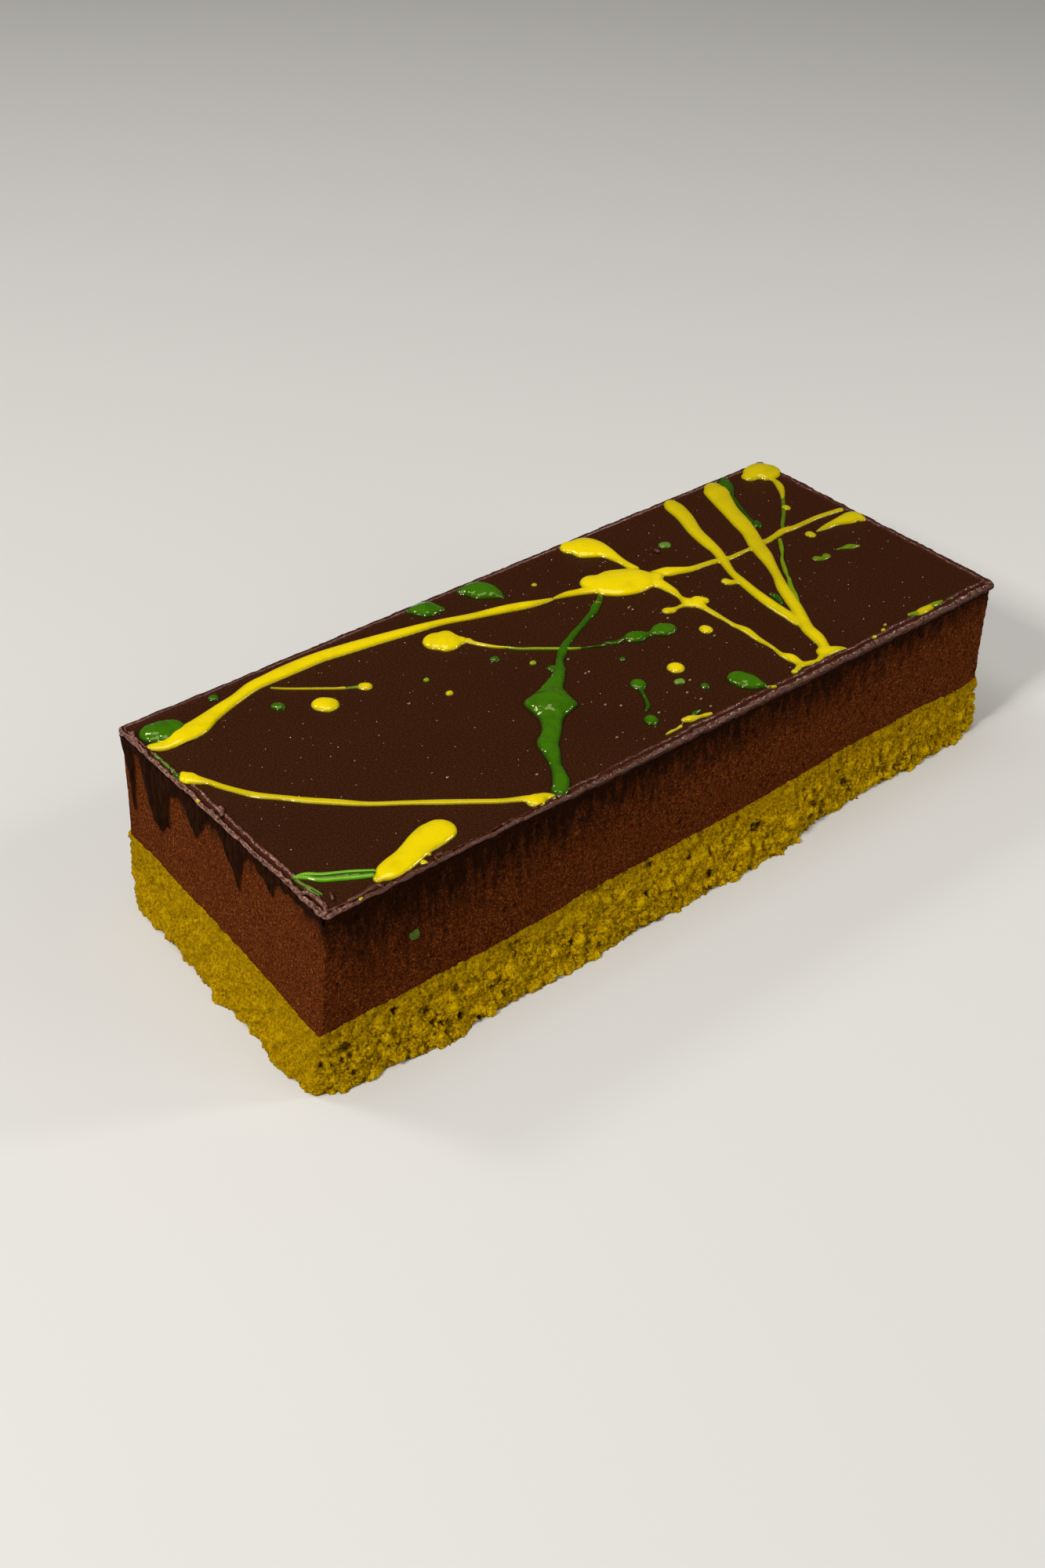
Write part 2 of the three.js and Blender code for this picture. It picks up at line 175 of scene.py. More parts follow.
# %% [markdown]
# ## The bar's own sizes
# These repeat the CAD model's driving sizes. The bar was cut with a warm knife, so no two corners are
# quite alike, and its ends lean out towards the foot. A point of the plan outline moves from the foot's
# corners to the rim's corners as it rises.

# %% Sizes of the bar
HALF_LENGTH, HALF_WIDTH, HEIGHT = 90, 35, 41
CORNER_RADIUS, CORNER_LEAST, CORNER_SHRINK, CORNER_STEPS = 1, 0.25, 0.4, 5
RIM_CORNERS = np.array([[-88.1, -35.1], [88.5, -35.9], [89.8, 36.9], [-86.8, 37.3]])
FOOT_CORNERS = np.array([[-92.4, -34.5], [91.5, -34], [90.8, 34.6], [-91, 33.7]])
RIM_RISE, GLAZE_THICKNESS, GAP = 0.6, 2.4, 0.3
GLAZE_TOP = HEIGHT - RIM_RISE
GLAZE_LOW = GLAZE_TOP - GLAZE_THICKNESS


def place(plan, z):
    """Where points of the plan outline lie at their heights."""
    u, v = plan[..., 0] / HALF_LENGTH, plan[..., 1] / HALF_WIDTH
    shares = np.stack([(1 - u) * (1 - v), (1 + u) * (1 - v), (1 + u) * (1 + v), (1 - u) * (1 + v)], -1) / 4
    up = (z / HEIGHT)[..., None]
    return shares @ FOOT_CORNERS * (1 - up) + shares @ RIM_CORNERS * up


class Outline:
    """The plan outline, anticlockwise: each point's place on the inner rectangle and the way it faces.

    spacings are the distances between points on the right end, the back, the left end and the front.
    """

    def __init__(self, *spacings):
        reach = np.array([HALF_LENGTH, HALF_WIDTH]) - CORNER_RADIUS
        corners = np.array([[1, -1], [1, 1], [-1, 1], [-1, -1]]) * reach
        inner, ways = [], []
        for corner in range(4):
            turns = (np.linspace(-0.5, 0, CORNER_STEPS) + corner / 2) * math.pi
            arc = np.stack([np.cos(turns), np.sin(turns)], 1)
            ahead = corners[(corner + 1) % 4] - corners[corner]
            steps = round(np.abs(ahead).max() / spacings[corner % len(spacings)])
            shares = np.arange(1, steps)[:, None] / steps
            inner += [np.repeat(corners[[corner]], CORNER_STEPS, 0), corners[corner] + shares * ahead]
            ways += [arc, np.repeat(arc[[-1]], steps - 1, 0)]
        self.inner, self.ways, self.reach = np.concatenate(inner), np.concatenate(ways), reach

    def plan(self, inset=0):
        """Plan points this far inside the outline, with corners that tighten inwards."""
        inset = np.broadcast_to(inset, len(self.ways))[:, None]
        radius = np.clip(CORNER_RADIUS - CORNER_SHRINK * inset, CORNER_LEAST, CORNER_RADIUS)
        pulled = inset - (CORNER_RADIUS - radius)
        return self.inner * (1 - pulled / self.reach) + radius * self.ways


print("the glaze's top and foot lie at", GLAZE_TOP, "and", round(GLAZE_LOW, 1), "mm")

# %% [markdown]
# ## Noise and lists
# The CAD model roughens its layers with a small repeatable noise. The same noise is worked out here for
# whole arrays of points at once, so that the big lumps of the fine meshes lie where the solids have them.
# Finer lumps are layered on top of it: each layer starts elsewhere in the noise, so no two agree.

# %% Noise and profiles
NOISE_WAVES = np.array([127.1, 311.7, 74.7])
NOISE_SPREAD = 43758.5453


def lumps(points, size):
    """Smooth repeatable noise from -1 to 1 at each point, with lumps of about the given size."""
    at = points / size
    low = np.floor(at)
    near = at - low
    near = near * near * (3 - 2 * near)
    total = 0
    for corner in np.ndindex(2, 2, 2):
        wave = np.sin((low + corner) @ NOISE_WAVES) * NOISE_SPREAD
        weight = np.prod(np.where(corner, near, 1 - near), axis=-1)
        total = total + weight * (wave - np.floor(wave))
    return 2 * total - 1


def layered(layers, points, step=0):
    """Lumps of several sizes added up. A layer is its depth, its size, where in the noise it starts and
    how far it moves on there with each step."""
    return sum(
        depth * lumps(points + start + (0, 0, drift * step), size) for depth, size, start, drift in layers)


def with_height(plan, z):
    """Plan points and heights as x, y, z."""
    return np.concatenate([plan, np.broadcast_to(z, plan.shape[:-1])[..., None]], -1)


def along(table, at):
    """The value of a list of [place, value] at each place, joined by straight lines."""
    places, values = np.array(table).T
    return np.interp(at, places, values)


def by_side(outline, front, back, left, right):
    """One value for each point of the outline, from a list of [place, value] for each side."""
    x, y = outline.plan().T
    way_x, way_y = outline.ways.T
    sides = np.where(way_y < 0, along(front, x), along(back, x)) * way_y ** 2
    ends = np.where(way_x < 0, along(left, y), along(right, y)) * way_x ** 2
    return sides + ends


print("one lump:", np.round(lumps(np.array([[0, 0, 0], [1, 0, 0], [2, 0, 0]]), 4), 2))

# %% [markdown]
# ## Meshes made of rings
# Every layer of the bar is a stack of rings that follow the outline, from the middle of its underside,
# up its side, to the middle of its top. One function joins such rings with quads and closes both ends
# with a fan, so the mesh is always closed and always faces out.

# %% Rings into a mesh
def ring_piece(name, rings, marks):
    """A closed piece from rings of points in mm. marks are attributes: one value for each ring point."""
    count, size = rings.shape[:2]
    points = np.concatenate([rings.reshape(-1, 3), rings[[0, -1]].mean(axis=1)])
    here = np.arange(size)
    after = np.roll(here, -1)
    lows = np.arange(count - 1)[:, None] * size
    quads = np.stack([lows + here, lows + after, lows + size + after, lows + size + here], -1)
    last = (count - 1) * size
    under = np.stack([after, here, np.full(size, count * size)], 1)
    over = np.stack([last + here, last + after, np.full(size, count * size + 1)], 1)
    faces = [*quads.reshape(-1, 4).tolist(), *under.tolist(), *over.tolist()]
    ends = [0, 0]  # the values at the two middle points
    spread = {mark: np.append(np.broadcast_to(values, (count, size)), ends) for mark, values in marks.items()}
    return new_piece(name, points, [], faces, spread)


# %% [markdown]
# ## Camera
# The camera was solved from the bar's eight corners: it looks down at about 37 degrees on the near left
# corner. Blender's camera looks along its own -Z, so a camera that looks at the horizon is turned 90
# degrees about X, and one that looks down is turned less.

# %% Camera
CAMERA_PLACE = (-220.5, -247.9, 254.1)
CAMERA_AZIMUTH, CAMERA_ELEVATION = -39.62, 36.68
CAMERA_LENS = 43.87  # mm, for the 36 mm height of the picture
lens = bpy.data.cameras.new("camera")
lens.sensor_fit, lens.sensor_height, lens.lens = "VERTICAL", 36, CAMERA_LENS
lens.clip_start, lens.clip_end = 10 * MM, 10
camera = put("camera", lens)
camera.location = [value * MM for value in CAMERA_PLACE]
camera.rotation_euler = (math.radians(90 - CAMERA_ELEVATION), 0, math.radians(CAMERA_AZIMUTH))
bpy.context.scene.camera = camera
bpy.context.view_layer.update()
print("camera at", tuple(round(value, 3) for value in camera.location))

# %% [markdown]
# ## Floor and light
# A studio shot of food usually has one large soft light high to one side, a weaker one to fill the
# shadows, and a pale surround. Large lights give soft shadows and broad, calm glints on the glaze.
# The "Standard" view keeps strong yellows as they are, where the default view would bleach them.

# %% Floor, lights and surround
FLOOR_HALF = 4000  # mm
LIT_POINT = (0, 0, 0.02)  # the middle of the bar, in metres
LIGHTS = {  # name: place in metres, size in metres, watts
    "key": ((-0.8, -0.1, 0.7), 0.16, 7),
    "overhead": ((-0.1, 0.1, 1.2), 0.7, 4.6),
    "edge": ((-0.3, 0.6, 0.75), 0.2, 1.8),
    "fill": ((0.45, -0.9, 0.45), 0.6, 2.5),
    "side": ((0.45, -0.3, 0.42), 0.1, 0.9),
}


def aim(thing, target):
    """Turns a light so that it shines on a point."""
    ahead = np.array(target) - np.array(thing.location)
    flat = math.hypot(ahead[0], ahead[1])
    thing.rotation_euler = (math.atan2(flat, -ahead[2]), 0, math.atan2(-ahead[0], ahead[1]))


for light_name, (spot, size, watts) in LIGHTS.items():
    data = bpy.data.lights.new(light_name, "AREA")
    data.size, data.energy = size, watts
    light = put(light_name, data)
    light.location = spot
    aim(light, LIT_POINT)

surround = bpy.data.worlds.new("surround")
surround.use_nodes = True
backdrop = surround.node_tree.nodes["Background"].inputs
backdrop["Color"].default_value, backdrop["Strength"].default_value = linear("#efece6"), 0.06
bpy.context.scene.world = surround
bpy.context.scene.view_settings.view_transform = "Standard"

floor_corners = FLOOR_HALF * np.array([[-1, -1, 0], [1, -1, 0], [1, 1, 0], [-1, 1, 0]])
floor = new_piece("floor", floor_corners, faces=[(0, 1, 2, 3)])
floor_paint = bpy.data.materials.new("pale matt floor")
floor_paint.use_nodes = True
paint = floor_paint.node_tree.nodes["Principled BSDF"].inputs
paint["Base Color"].default_value, paint["Roughness"].default_value = linear("#d9d6d0"), 0.9
floor.data.materials.append(floor_paint)
print(len(LIGHTS), "lights")

# %% [markdown]
# ## Materials: a common start
# Every pattern below reads Object coordinates, turned to millimetres, so the scale of a noise is simply
# one over the size of its lumps. Constant values, such as the gloss of a coat, go straight on the
# shader's own sockets.

# %% Material helpers
def new_material(name, constants):
    """A material with its constants set, its tree, its shader, and Object coordinates in millimetres."""
    material = bpy.data.materials.new(name)
    material.use_nodes = True
    tree = material.node_tree
    shader = tree.nodes["Principled BSDF"]
    for socket, value in constants.items():
        shader.inputs[socket].default_value = value
    coordinates = add(tree, "ShaderNodeTexCoord")
    mm = add(tree, "ShaderNodeMapping", {"Vector": coordinates.outputs["Object"], "Scale": (1 / MM,) * 3})
    return material, tree, shader, mm


def lay_over(tree, base, *coats):
    """Lays coats over a base colour. Each coat is a value, where on it the coat starts and where it is
    full, its full share, and its colour. Colours are hex values or nodes."""
    for value, starts, full, share, coat in coats:
        amount = add(tree, RANGE, {"Value": value, "From Min": starts, "From Max": full, "To Max": share})
        under, over = [linear(end) if isinstance(end, str) else end.outputs[2] for end in (base, coat)]
        base = add(tree, "ShaderNodeMix", {0: amount, 6: under, 7: over}, data_type="RGBA")
    return base


def dress(tree, shader, colour, bump, strength, depth):
    """Gives a shader its colour, and bumps from a pattern, up to a depth in mm."""
    tree.links.new(colour.outputs[2], shader.inputs["Base Color"])
    bumps = add(tree, "ShaderNodeBump", {"Height": bump, "Strength": strength, "Distance": depth * MM})
    tree.links.new(bumps.outputs[0], shader.inputs["Normal"])


# %% [markdown]
# ## Sponge: the material
# Sponge cake is a set foam of egg, flour and sugar. Light goes a little way in and comes out yellower,
# so the thin walls between pores glow. Light and shade are also painted into the colour: painted shade
# in the pores, the hollows and the dips between crumbs, and painted highlights on crumbs that stand out.
# The mesh carries marks: "pore" and "hollow" say how deep in a pore a point lies, "crest" how far it
# stands out, and "coarse" how torn the cut is there. Where "coarse" is low the crumb is darker: painted
# shade at the top under the mousse, and a darker tone at the left end, where the cut is cleaner.

# %% Sponge material
sponge_look, tree, shader, mm = new_material("Vanilla sponge crumb", {
    "Roughness": 0.9, "Specular IOR Level": 0.03, "IOR": 1.4,
    "Subsurface Weight": 0.12, "Subsurface Scale": 0.7 * MM, "Subsurface Radius": (1, 0.75, 0.05)})
pore, hollow, crest, coarse = [
    add(tree, MARK, attribute_name=mark).outputs["Fac"] for mark in ("pore", "hollow", "crest", "coarse")]
deep = add(tree, MATH, pore, hollow, operation="MAXIMUM")
patches = add(tree, NOISE, {"Vector": mm, "Scale": 1 / 6, "Detail": 3})
grains = add(tree, NOISE, {"Vector": mm, "Scale": 1 / 0.6, "Detail": 3, "Roughness": 0.7})
crumb = lay_over(
    tree, "#755300",
    (grains, 0.36, 0.62, 1, "#deb204"),
    (patches, 0.35, 0.65, 0.4, "#a98400"),
    (crest, 0.1, 0.8, 0.7, "#e4be06"),  # painted highlight on the crumbs that stand out
    (crest, -0.1, -1.0, 0.4, "#704d00"),  # painted shade in the dips between them
    (coarse, 0.95, 0.5, 0.42, "#7a5900"),  # painted shade at the top under the mousse; darker also at the left end
    # painted shade in the pores and hollows
    (deep, 0.2, 1.2, 0.75, "#523600"))
fine = add(tree, NOISE, {"Vector": mm, "Scale": 1 / 0.5, "Detail": 3, "Roughness": 0.65})
dress(tree, shader, crumb, fine, 1.0, 0.45)
print(sponge_look.name, "has", len(tree.nodes), "nodes")

# %% [markdown]
# ## Mousse: the material
# Chocolate mousse is whipped cream and chocolate, full of bubbles of about half a millimetre. The knife
# drags them open, so they look like short upright pits: their shade is painted dark, and fine bright
# specks are painted on as glints from their wet rims. Under the rim the sides are darker, in streaks
# that fade downwards: partly glaze that soaked in, partly painted shade under the rolled edge. The mesh
# carries a "fringe" mark, the depth below the rim as a share of how far that dark band reaches there.

# %% Mousse material
PIT_STRETCH = (1, 1, 0.75)  # less in z means that a pattern is drawn out upright
STREAK_STRETCH = (1, 1, 0.25)
mousse_look, tree, shader, mm = new_material("Cut chocolate mousse", {
    "Roughness": 0.9, "Specular IOR Level": 0.03, "IOR": 1.42})
fringe, coarse, pore = [
    add(tree, MARK, attribute_name=mark).outputs["Fac"] for mark in ("fringe", "coarse", "pore")]
upright = add(tree, VECTORS, mm, PIT_STRETCH, operation="MULTIPLY")
running = add(tree, VECTORS, mm, STREAK_STRETCH, operation="MULTIPLY")
specks = add(tree, NOISE, {"Vector": upright, "Scale": 1 / 0.42, "Detail": 2, "Roughness": 0.65})
painted_glint_specks = add(tree, NOISE, {"Vector": mm, "Scale": 1 / 0.36, "Detail": 1})
patches = add(tree, NOISE, {"Vector": upright, "Scale": 1 / 7, "Detail": 3})
pits = add(tree, NOISE, {"Vector": upright, "Scale": 1 / 0.75, "Detail": 1, "Roughness": 0.6})
pit_shade = add(tree, RANGE, {"Value": pits, "From Min": 0.42, "From Max": 0.28, "To Max": 0.7})
pit_shade = add(tree, MATH, pit_shade, coarse, operation="MULTIPLY")
streaks = add(tree, NOISE, {"Vector": running, "Scale": 1 / 1.5, "Detail": 3, "Roughness": 0.6})
depth = add(tree, MATH, streaks, 2.6, fringe, operation="MULTIPLY_ADD")
cut = lay_over(
    tree, "#3a1605",
    (specks, 0.4, 0.7, 1, "#743610"),
    # painted glints on the wet rims of the pits
    (painted_glint_specks, 0.6, 0.72, 0.6, "#b06824"),
    (patches, 0.35, 0.7, 0.25, "#4d2105"),
    # painted shade in the pits and pores
    (pit_shade, 0, 1, 1, "#1a0901"),
    (pore, 0.1, 0.7, 0.75, "#170801"),
    (depth, 2.85, 1.7, 0.9, "#160701"))  # partly where the glaze soaked in, partly painted shade under the rolled edge
rough = add(tree, NOISE, {"Vector": upright, "Scale": 1 / 0.5, "Detail": 3, "Roughness": 0.6})
dress(tree, shader, cut, rough, 1.0, 0.3)
print(mousse_look.name, "has", len(tree.nodes), "nodes")

# %% [markdown]
# ## Glaze: the materials
# The glaze is set chocolate. Its top dried to a satin sheet with a faint grain. Its edge was rolled over
# by the warm knife, so its ridges are glossy and the groove between them is dull. One function makes
# these three from two browns, a gloss and a grain. On the ridges the pale pinkish brown is a painted
# glint: full at the left end, it turns to a redder brown along the sides. Where glaze ran down it soaked
# into the mousse, thin and almost black: that is a material of its own, with streaks that run downwards
# and a browner edge.

# %% Glaze materials
GLINT_FADE_FROM, GLINT_FADE_TO, GLINT_FADE_SHARE = -86, -78, 0.92  # where the painted pinkish glint of the left end fades, in mm
GLOSS_SPREAD = 0.06


def glaze_material(name, dark, light, roughness, grain_size, grain_depth, constants, away=None):
    """Set chocolate with a grain of its own. away is the colour it takes on away from the left end, where the
    edge's painted glint fades.
    """
    material, tree, shader, mm = new_material(name, {"IOR": 1.46, **constants})
    clouds = add(tree, NOISE, {"Vector": mm, "Scale": 1 / 22, "Detail": 2})
    grain = add(tree, NOISE, {"Vector": mm, "Scale": 1 / grain_size, "Detail": 3, "Roughness": 0.7})
    brown = lay_over(tree, dark, (grain, 0.4, 0.78, 1, light), (clouds, 0, 1, 0.5, dark))
    if away:
        along_bar = add(tree, AXES, mm).outputs["X"]
        brown = lay_over(tree, brown, (along_bar, GLINT_FADE_FROM, GLINT_FADE_TO, GLINT_FADE_SHARE, away))
    gloss = add(tree, RANGE, {
        "Value": grain, "To Min": roughness - GLOSS_SPREAD, "To Max": roughness + GLOSS_SPREAD})
    tree.links.new(gloss.outputs[0], shader.inputs["Roughness"])
    dress(tree, shader, brown, grain, 0.5, grain_depth)
    return material


sheet_look = glaze_material("Satin chocolate glaze", "#2b1104", "#4f2b14", 0.4, 0.4, 0.05,
                            {"Specular IOR Level": 0.1})
# The ridges' pale pinkish brown is a painted glint; away from the left end it turns a darker red-brown.
rim_glint_look = glaze_material("Rolled chocolate edge", "#40200f", "#c88f7b", 0.24, 0.7, 0.16,
                          {"Specular IOR Level": 0.6, "Specular Tint": linear("#ffdccd")}, "#472311")
groove_look = glaze_material("Chocolate in the groove of the edge", "#2c0e05", "#5c2812", 0.55, 0.4, 0.1,
                             {"Specular IOR Level": 0.1})

run_look, tree, shader, mm = new_material("Soaked chocolate runs", {
    "Roughness": 0.85, "Specular IOR Level": 0.02})
skin_depth = add(tree, MARK, attribute_name="inside").outputs["Fac"]
downwards = add(tree, VECTORS, mm, STREAK_STRETCH, operation="MULTIPLY")
streaks = add(tree, NOISE, {"Vector": downwards, "Scale": 1 / 0.8, "Detail": 3, "Roughness": 0.65})
wobble = add(tree, MATH, streaks, 1.2, skin_depth, operation="MULTIPLY_ADD")
soaked_brown = lay_over(
    tree, "#100400", (streaks, 0.35, 0.7, 1, "#2f1505"), (wobble, 1.0, 0.5, 0.8, "#4a2009"))
dress(tree, shader, soaked_brown, streaks, 0.5, 0.15)
print(len(bpy.data.materials), "materials so far")

# %% [markdown]
# ## Drizzle: the materials
# The drizzle is coloured cocoa butter or icing that set where it fell: smooth, glossy, and a little
# translucent. Height above the glaze stands for thickness here: low on a stroke the colour turns darker,
# partly the glaze showing through the thin edge, partly painted shade along the steep edges of the domes.
# The warm tint keeps the glints from turning the greens blue.

# %% Drizzle materials
DARKENS_FROM, DARKENS_TO, DARKENS_SHARE = 34, 58, 0.45  # from here on along X the drizzle turns darker, towards its thin colour, in mm
THIN_GLOSS, THICK_GLOSS = 0.2, 0.08


def drizzle_material(name, thin_and_shaded, thick, full_height, ripples=0.12):
    """Glossy icing with ripples, whose colour is full only this high above the glaze. Both are in mm. Below
    that it darkens, partly as thin icing, partly as painted shade at the edges.
    """
    material, tree, shader, mm = new_material(name, {
        "Specular IOR Level": 0.75, "Specular Tint": linear("#fff0b8"), "IOR": 1.45,
        "Subsurface Weight": 0.1, "Subsurface Scale": 0.8 * MM, "Subsurface Radius": (1, 0.9, 0.1)})
    spot = add(tree, AXES, mm).outputs
    low, high = GLAZE_TOP + 0.1, GLAZE_TOP + full_height
    swirls = add(tree, NOISE, {"Vector": mm, "Scale": 1 / 4, "Detail": 2})
    # Low on a dome the colour darkens: partly glaze through thin icing, partly painted shade at the edges.
    colour = lay_over(
        tree, thin_and_shaded, (spot["Z"], low, high, 1, thick), (swirls, 0.5, 0.8, 0.3, thin_and_shaded),
        (spot["X"], DARKENS_FROM, DARKENS_TO, DARKENS_SHARE, thin_and_shaded))
    gloss = add(tree, RANGE, {
        "Value": spot["Z"], "From Min": low, "From Max": high, "To Min": THIN_GLOSS, "To Max": THICK_GLOSS})
    tree.links.new(gloss.outputs[0], shader.inputs["Roughness"])
    waves = add(tree, NOISE, {"Vector": mm, "Scale": 1 / 2.6, "Detail": 1})
    dress(tree, shader, colour, waves, 0.6, ripples)
    return material


yellow_look = drizzle_material("Yellow cocoa butter drizzle", "#9a8c02", "#eacf02", 0.65)
lime_look = drizzle_material("Yellow drizzle tinged with green", "#4a6602", "#93a606", 0.6)
green_look = drizzle_material("Green cocoa butter drizzle", "#173100", "#3a6b02", 0.8, 1.3)
ribbon_look = drizzle_material("Green drizzle, ridged", "#3c7405", "#68a41c", 0.45)
# The pale smear colour also stands for glints: the beads along the left rim are painted glints.
pale_look = drizzle_material("Thin green smear", "#37500f", "#6b8f30", 0.5)
# The droplets' pale top colour is a painted glint.
droplet_glint_look = drizzle_material("Clear cocoa butter droplet", "#3a2416", "#8d7a5c", 0.35)

fleck_look, tree, shader, mm = new_material("Dried green icing fleck", {
    "Roughness": 0.7, "Specular IOR Level": 0.2})
mottle = add(tree, NOISE, {"Vector": mm, "Scale": 1 / 0.6, "Detail": 2})
fleck_green = lay_over(tree, "#1c3002", (mottle, 0, 1, 1, "#587a0c"))
tree.links.new(fleck_green.outputs[2], shader.inputs["Base Color"])

# The specks' pale colour is a painted glint.
glint_speck_look, tree, shader, mm = new_material("Pale specks, painted as glints", {"Roughness": 0.3})
glint_paleness = add(tree, MARK, attribute_name="crest").outputs["Fac"]
speck_glint_colour = lay_over(tree, "#5a3a26", (glint_paleness, 0.1, 1.0, 1, "#d8cbb8"))
tree.links.new(speck_glint_colour.outputs[2], shader.inputs["Base Color"])
print(len(bpy.data.materials), "materials in all")

# %% [markdown]
# ## Sponge and mousse: relief from Geometry Nodes
# A crumb is grains stuck together with pores between them, over and over: a rule, so it suits Geometry
# Nodes. A Voronoi texture scatters one point in each cell. Near such a point the surface sinks like a
# ball pressed into it, by the square root of radius squared minus distance squared, with a radius drawn
# for each cell. Two sizes of pore, a layer of grains, and crags split by sharp creases push the wall in
# and out, all in millimetres. A crease lies wherever a noise passes through its middle value.

# %% The relief tree
RELIEF_SIZES = [
    "Grain Size", "Grain Height", "Roughness Height", "Side Slip", "Upright Stretch", "Crag Size",
    "Crag Height", "Pore Spacing", "Pore Radius", "Small Pore Spacing", "Small Pore Radius",
    "Pore Raggedness"]
LARGE_SHARE, SMALL_SHARE = 0.5, 0.85  # how many cells of each size hold a pore
CREASE_WIDTH, CREASE_DEPTH, CRAG_RISE = 0.22, -0.6, 0.7  # shares of the noise and of the crag height
ABOVE_FLOOR = (-1, -1, 0)  # the least x, y and z that a point may have, in metres
relief, inputs = new_tree("Pores and grains", RELIEF_SIZES)
here = add(relief, "GeometryNodeInputPosition")
mm = add(relief, VECTORS, here, {"Scale": 1 / MM}, operation="SCALE")
squeeze = add(relief, MATH, 1.0, inputs["Upright Stretch"], operation="DIVIDE")
stretch = add(relief, "ShaderNodeCombineXYZ", 1, 1, squeeze)
stretched = add(relief, VECTORS, mm, stretch, operation="MULTIPLY")
per_grain = add(relief, MATH, 1.0, inputs["Grain Size"], operation="DIVIDE")
drift = add(relief, NOISE, {"Vector": stretched, "Scale": per_grain, "Detail": 2})
drift = add(relief, VECTORS, drift.outputs["Color"], (0.5, 0.5, 0.5), operation="SUBTRACT")
warp = add(relief, VECTORS, drift, {"Scale": inputs["Pore Raggedness"]}, operation="SCALE")
warped = add(relief, VECTORS, stretched, warp, operation="ADD")


def pressed_pores(spacing, radius, share):
    """How deep the pores of one size sink each point of the surface, in mm."""
    scale = add(relief, MATH, 1.0, spacing, operation="DIVIDE")
    cells = add(relief, "ShaderNodeTexVoronoi", {"Vector": warped, "Scale": scale})
    chance = add(relief, AXES, cells.outputs["Color"]).outputs["X"]
    wanted = add(relief, RANGE, {"Value": chance, "From Min": 1 - share, "From Max": 1, "To Max": radius})
    away = add(relief, MATH, cells.outputs["Distance"], spacing, operation="MULTIPLY")
    square = add(relief, MATH, wanted, wanted, operation="MULTIPLY")
    taken = add(relief, MATH, away, away, operation="MULTIPLY")
    left = add(relief, MATH, square, taken, operation="SUBTRACT")
    left = add(relief, MATH, left, 0.0, operation="MAXIMUM")
    return add(relief, MATH, left, 0.5, operation="POWER")


large = pressed_pores(inputs["Pore Spacing"], inputs["Pore Radius"], LARGE_SHARE)
small = pressed_pores(inputs["Small Pore Spacing"], inputs["Small Pore Radius"], SMALL_SHARE)
sunk = add(relief, MATH, large, small, operation="MAXIMUM")
coarse = add(relief, "GeometryNodeInputNamedAttribute", {"Name": "coarse"}, data_type="FLOAT")
sunk = add(relief, MATH, sunk, coarse, operation="MULTIPLY")
marked = add(relief, "GeometryNodeStoreNamedAttribute", {
    "Geometry": inputs["Geometry"], "Name": "pore", "Value": sunk}, data_type="FLOAT", domain="POINT")
facing = add(relief, "GeometryNodeInputNormal")
inward = add(relief, MATH, sunk, -MM, operation="MULTIPLY")
inward = add(relief, VECTORS, facing, {"Scale": inward}, operation="SCALE")
slip = add(relief, MATH, inputs["Side Slip"], coarse, operation="MULTIPLY")
slip = add(relief, MATH, slip, MM, operation="MULTIPLY")
slip = add(relief, VECTORS, drift, {"Scale": slip}, operation="SCALE")
slip = add(relief, VECTORS, inward, slip, operation="ADD")
pitted = add(relief, "GeometryNodeSetPosition", {"Geometry": marked, "Offset": slip})

cells = add(relief, "ShaderNodeTexVoronoi", {"Vector": warped, "Scale": per_grain})
crown = add(relief, MATH, 0.5, cells.outputs["Distance"], operation="SUBTRACT")
crown = add(relief, MATH, crown, inputs["Grain Height"], operation="MULTIPLY")
waves = add(relief, NOISE, {"Vector": stretched, "Scale": per_grain, "Detail": 4, "Roughness": 0.65})
waves = add(relief, MATH, waves, 0.5, operation="SUBTRACT")
waves = add(relief, MATH, waves, inputs["Roughness Height"], crown, operation="MULTIPLY_ADD")
per_crag = add(relief, MATH, 1.0, inputs["Crag Size"], operation="DIVIDE")
crags = add(relief, NOISE, {"Vector": warped, "Scale": per_crag, "Detail": 1, "Roughness": 0.6})
crags = add(relief, MATH, crags, 0.5, operation="SUBTRACT")
crags = add(relief, MATH, crags, operation="ABSOLUTE")
crags = add(relief, RANGE, {
    "Value": crags, "From Max": CREASE_WIDTH, "To Min": CREASE_DEPTH, "To Max": CRAG_RISE})
waves = add(relief, MATH, crags, inputs["Crag Height"], waves, operation="MULTIPLY_ADD")
raised = add(relief, MATH, waves, coarse, operation="MULTIPLY")
crested = add(relief, "GeometryNodeStoreNamedAttribute", {
    "Geometry": pitted, "Name": "crest", "Value": raised}, data_type="FLOAT", domain="POINT")
height = add(relief, MATH, raised, MM, operation="MULTIPLY")
out = add(relief, VECTORS, facing, {"Scale": height}, operation="SCALE")
moved = add(relief, "GeometryNodeSetPosition", {"Geometry": crested, "Offset": out})
lowest = add(relief, VECTORS, here, ABOVE_FLOOR, operation="MAXIMUM")
standing = add(relief, "GeometryNodeSetPosition", {"Geometry": moved, "Position": lowest})
end_tree(relief, standing, inputs["Material"])
print("relief tree:", len(relief.nodes), "nodes")

# %% [markdown]
# ## The line between sponge and mousse
# The sponge was baked a little thicker towards the back, and its top crust undulates by half a
# millimetre or so. Both layers read their shared edge from the same function, so they always meet.

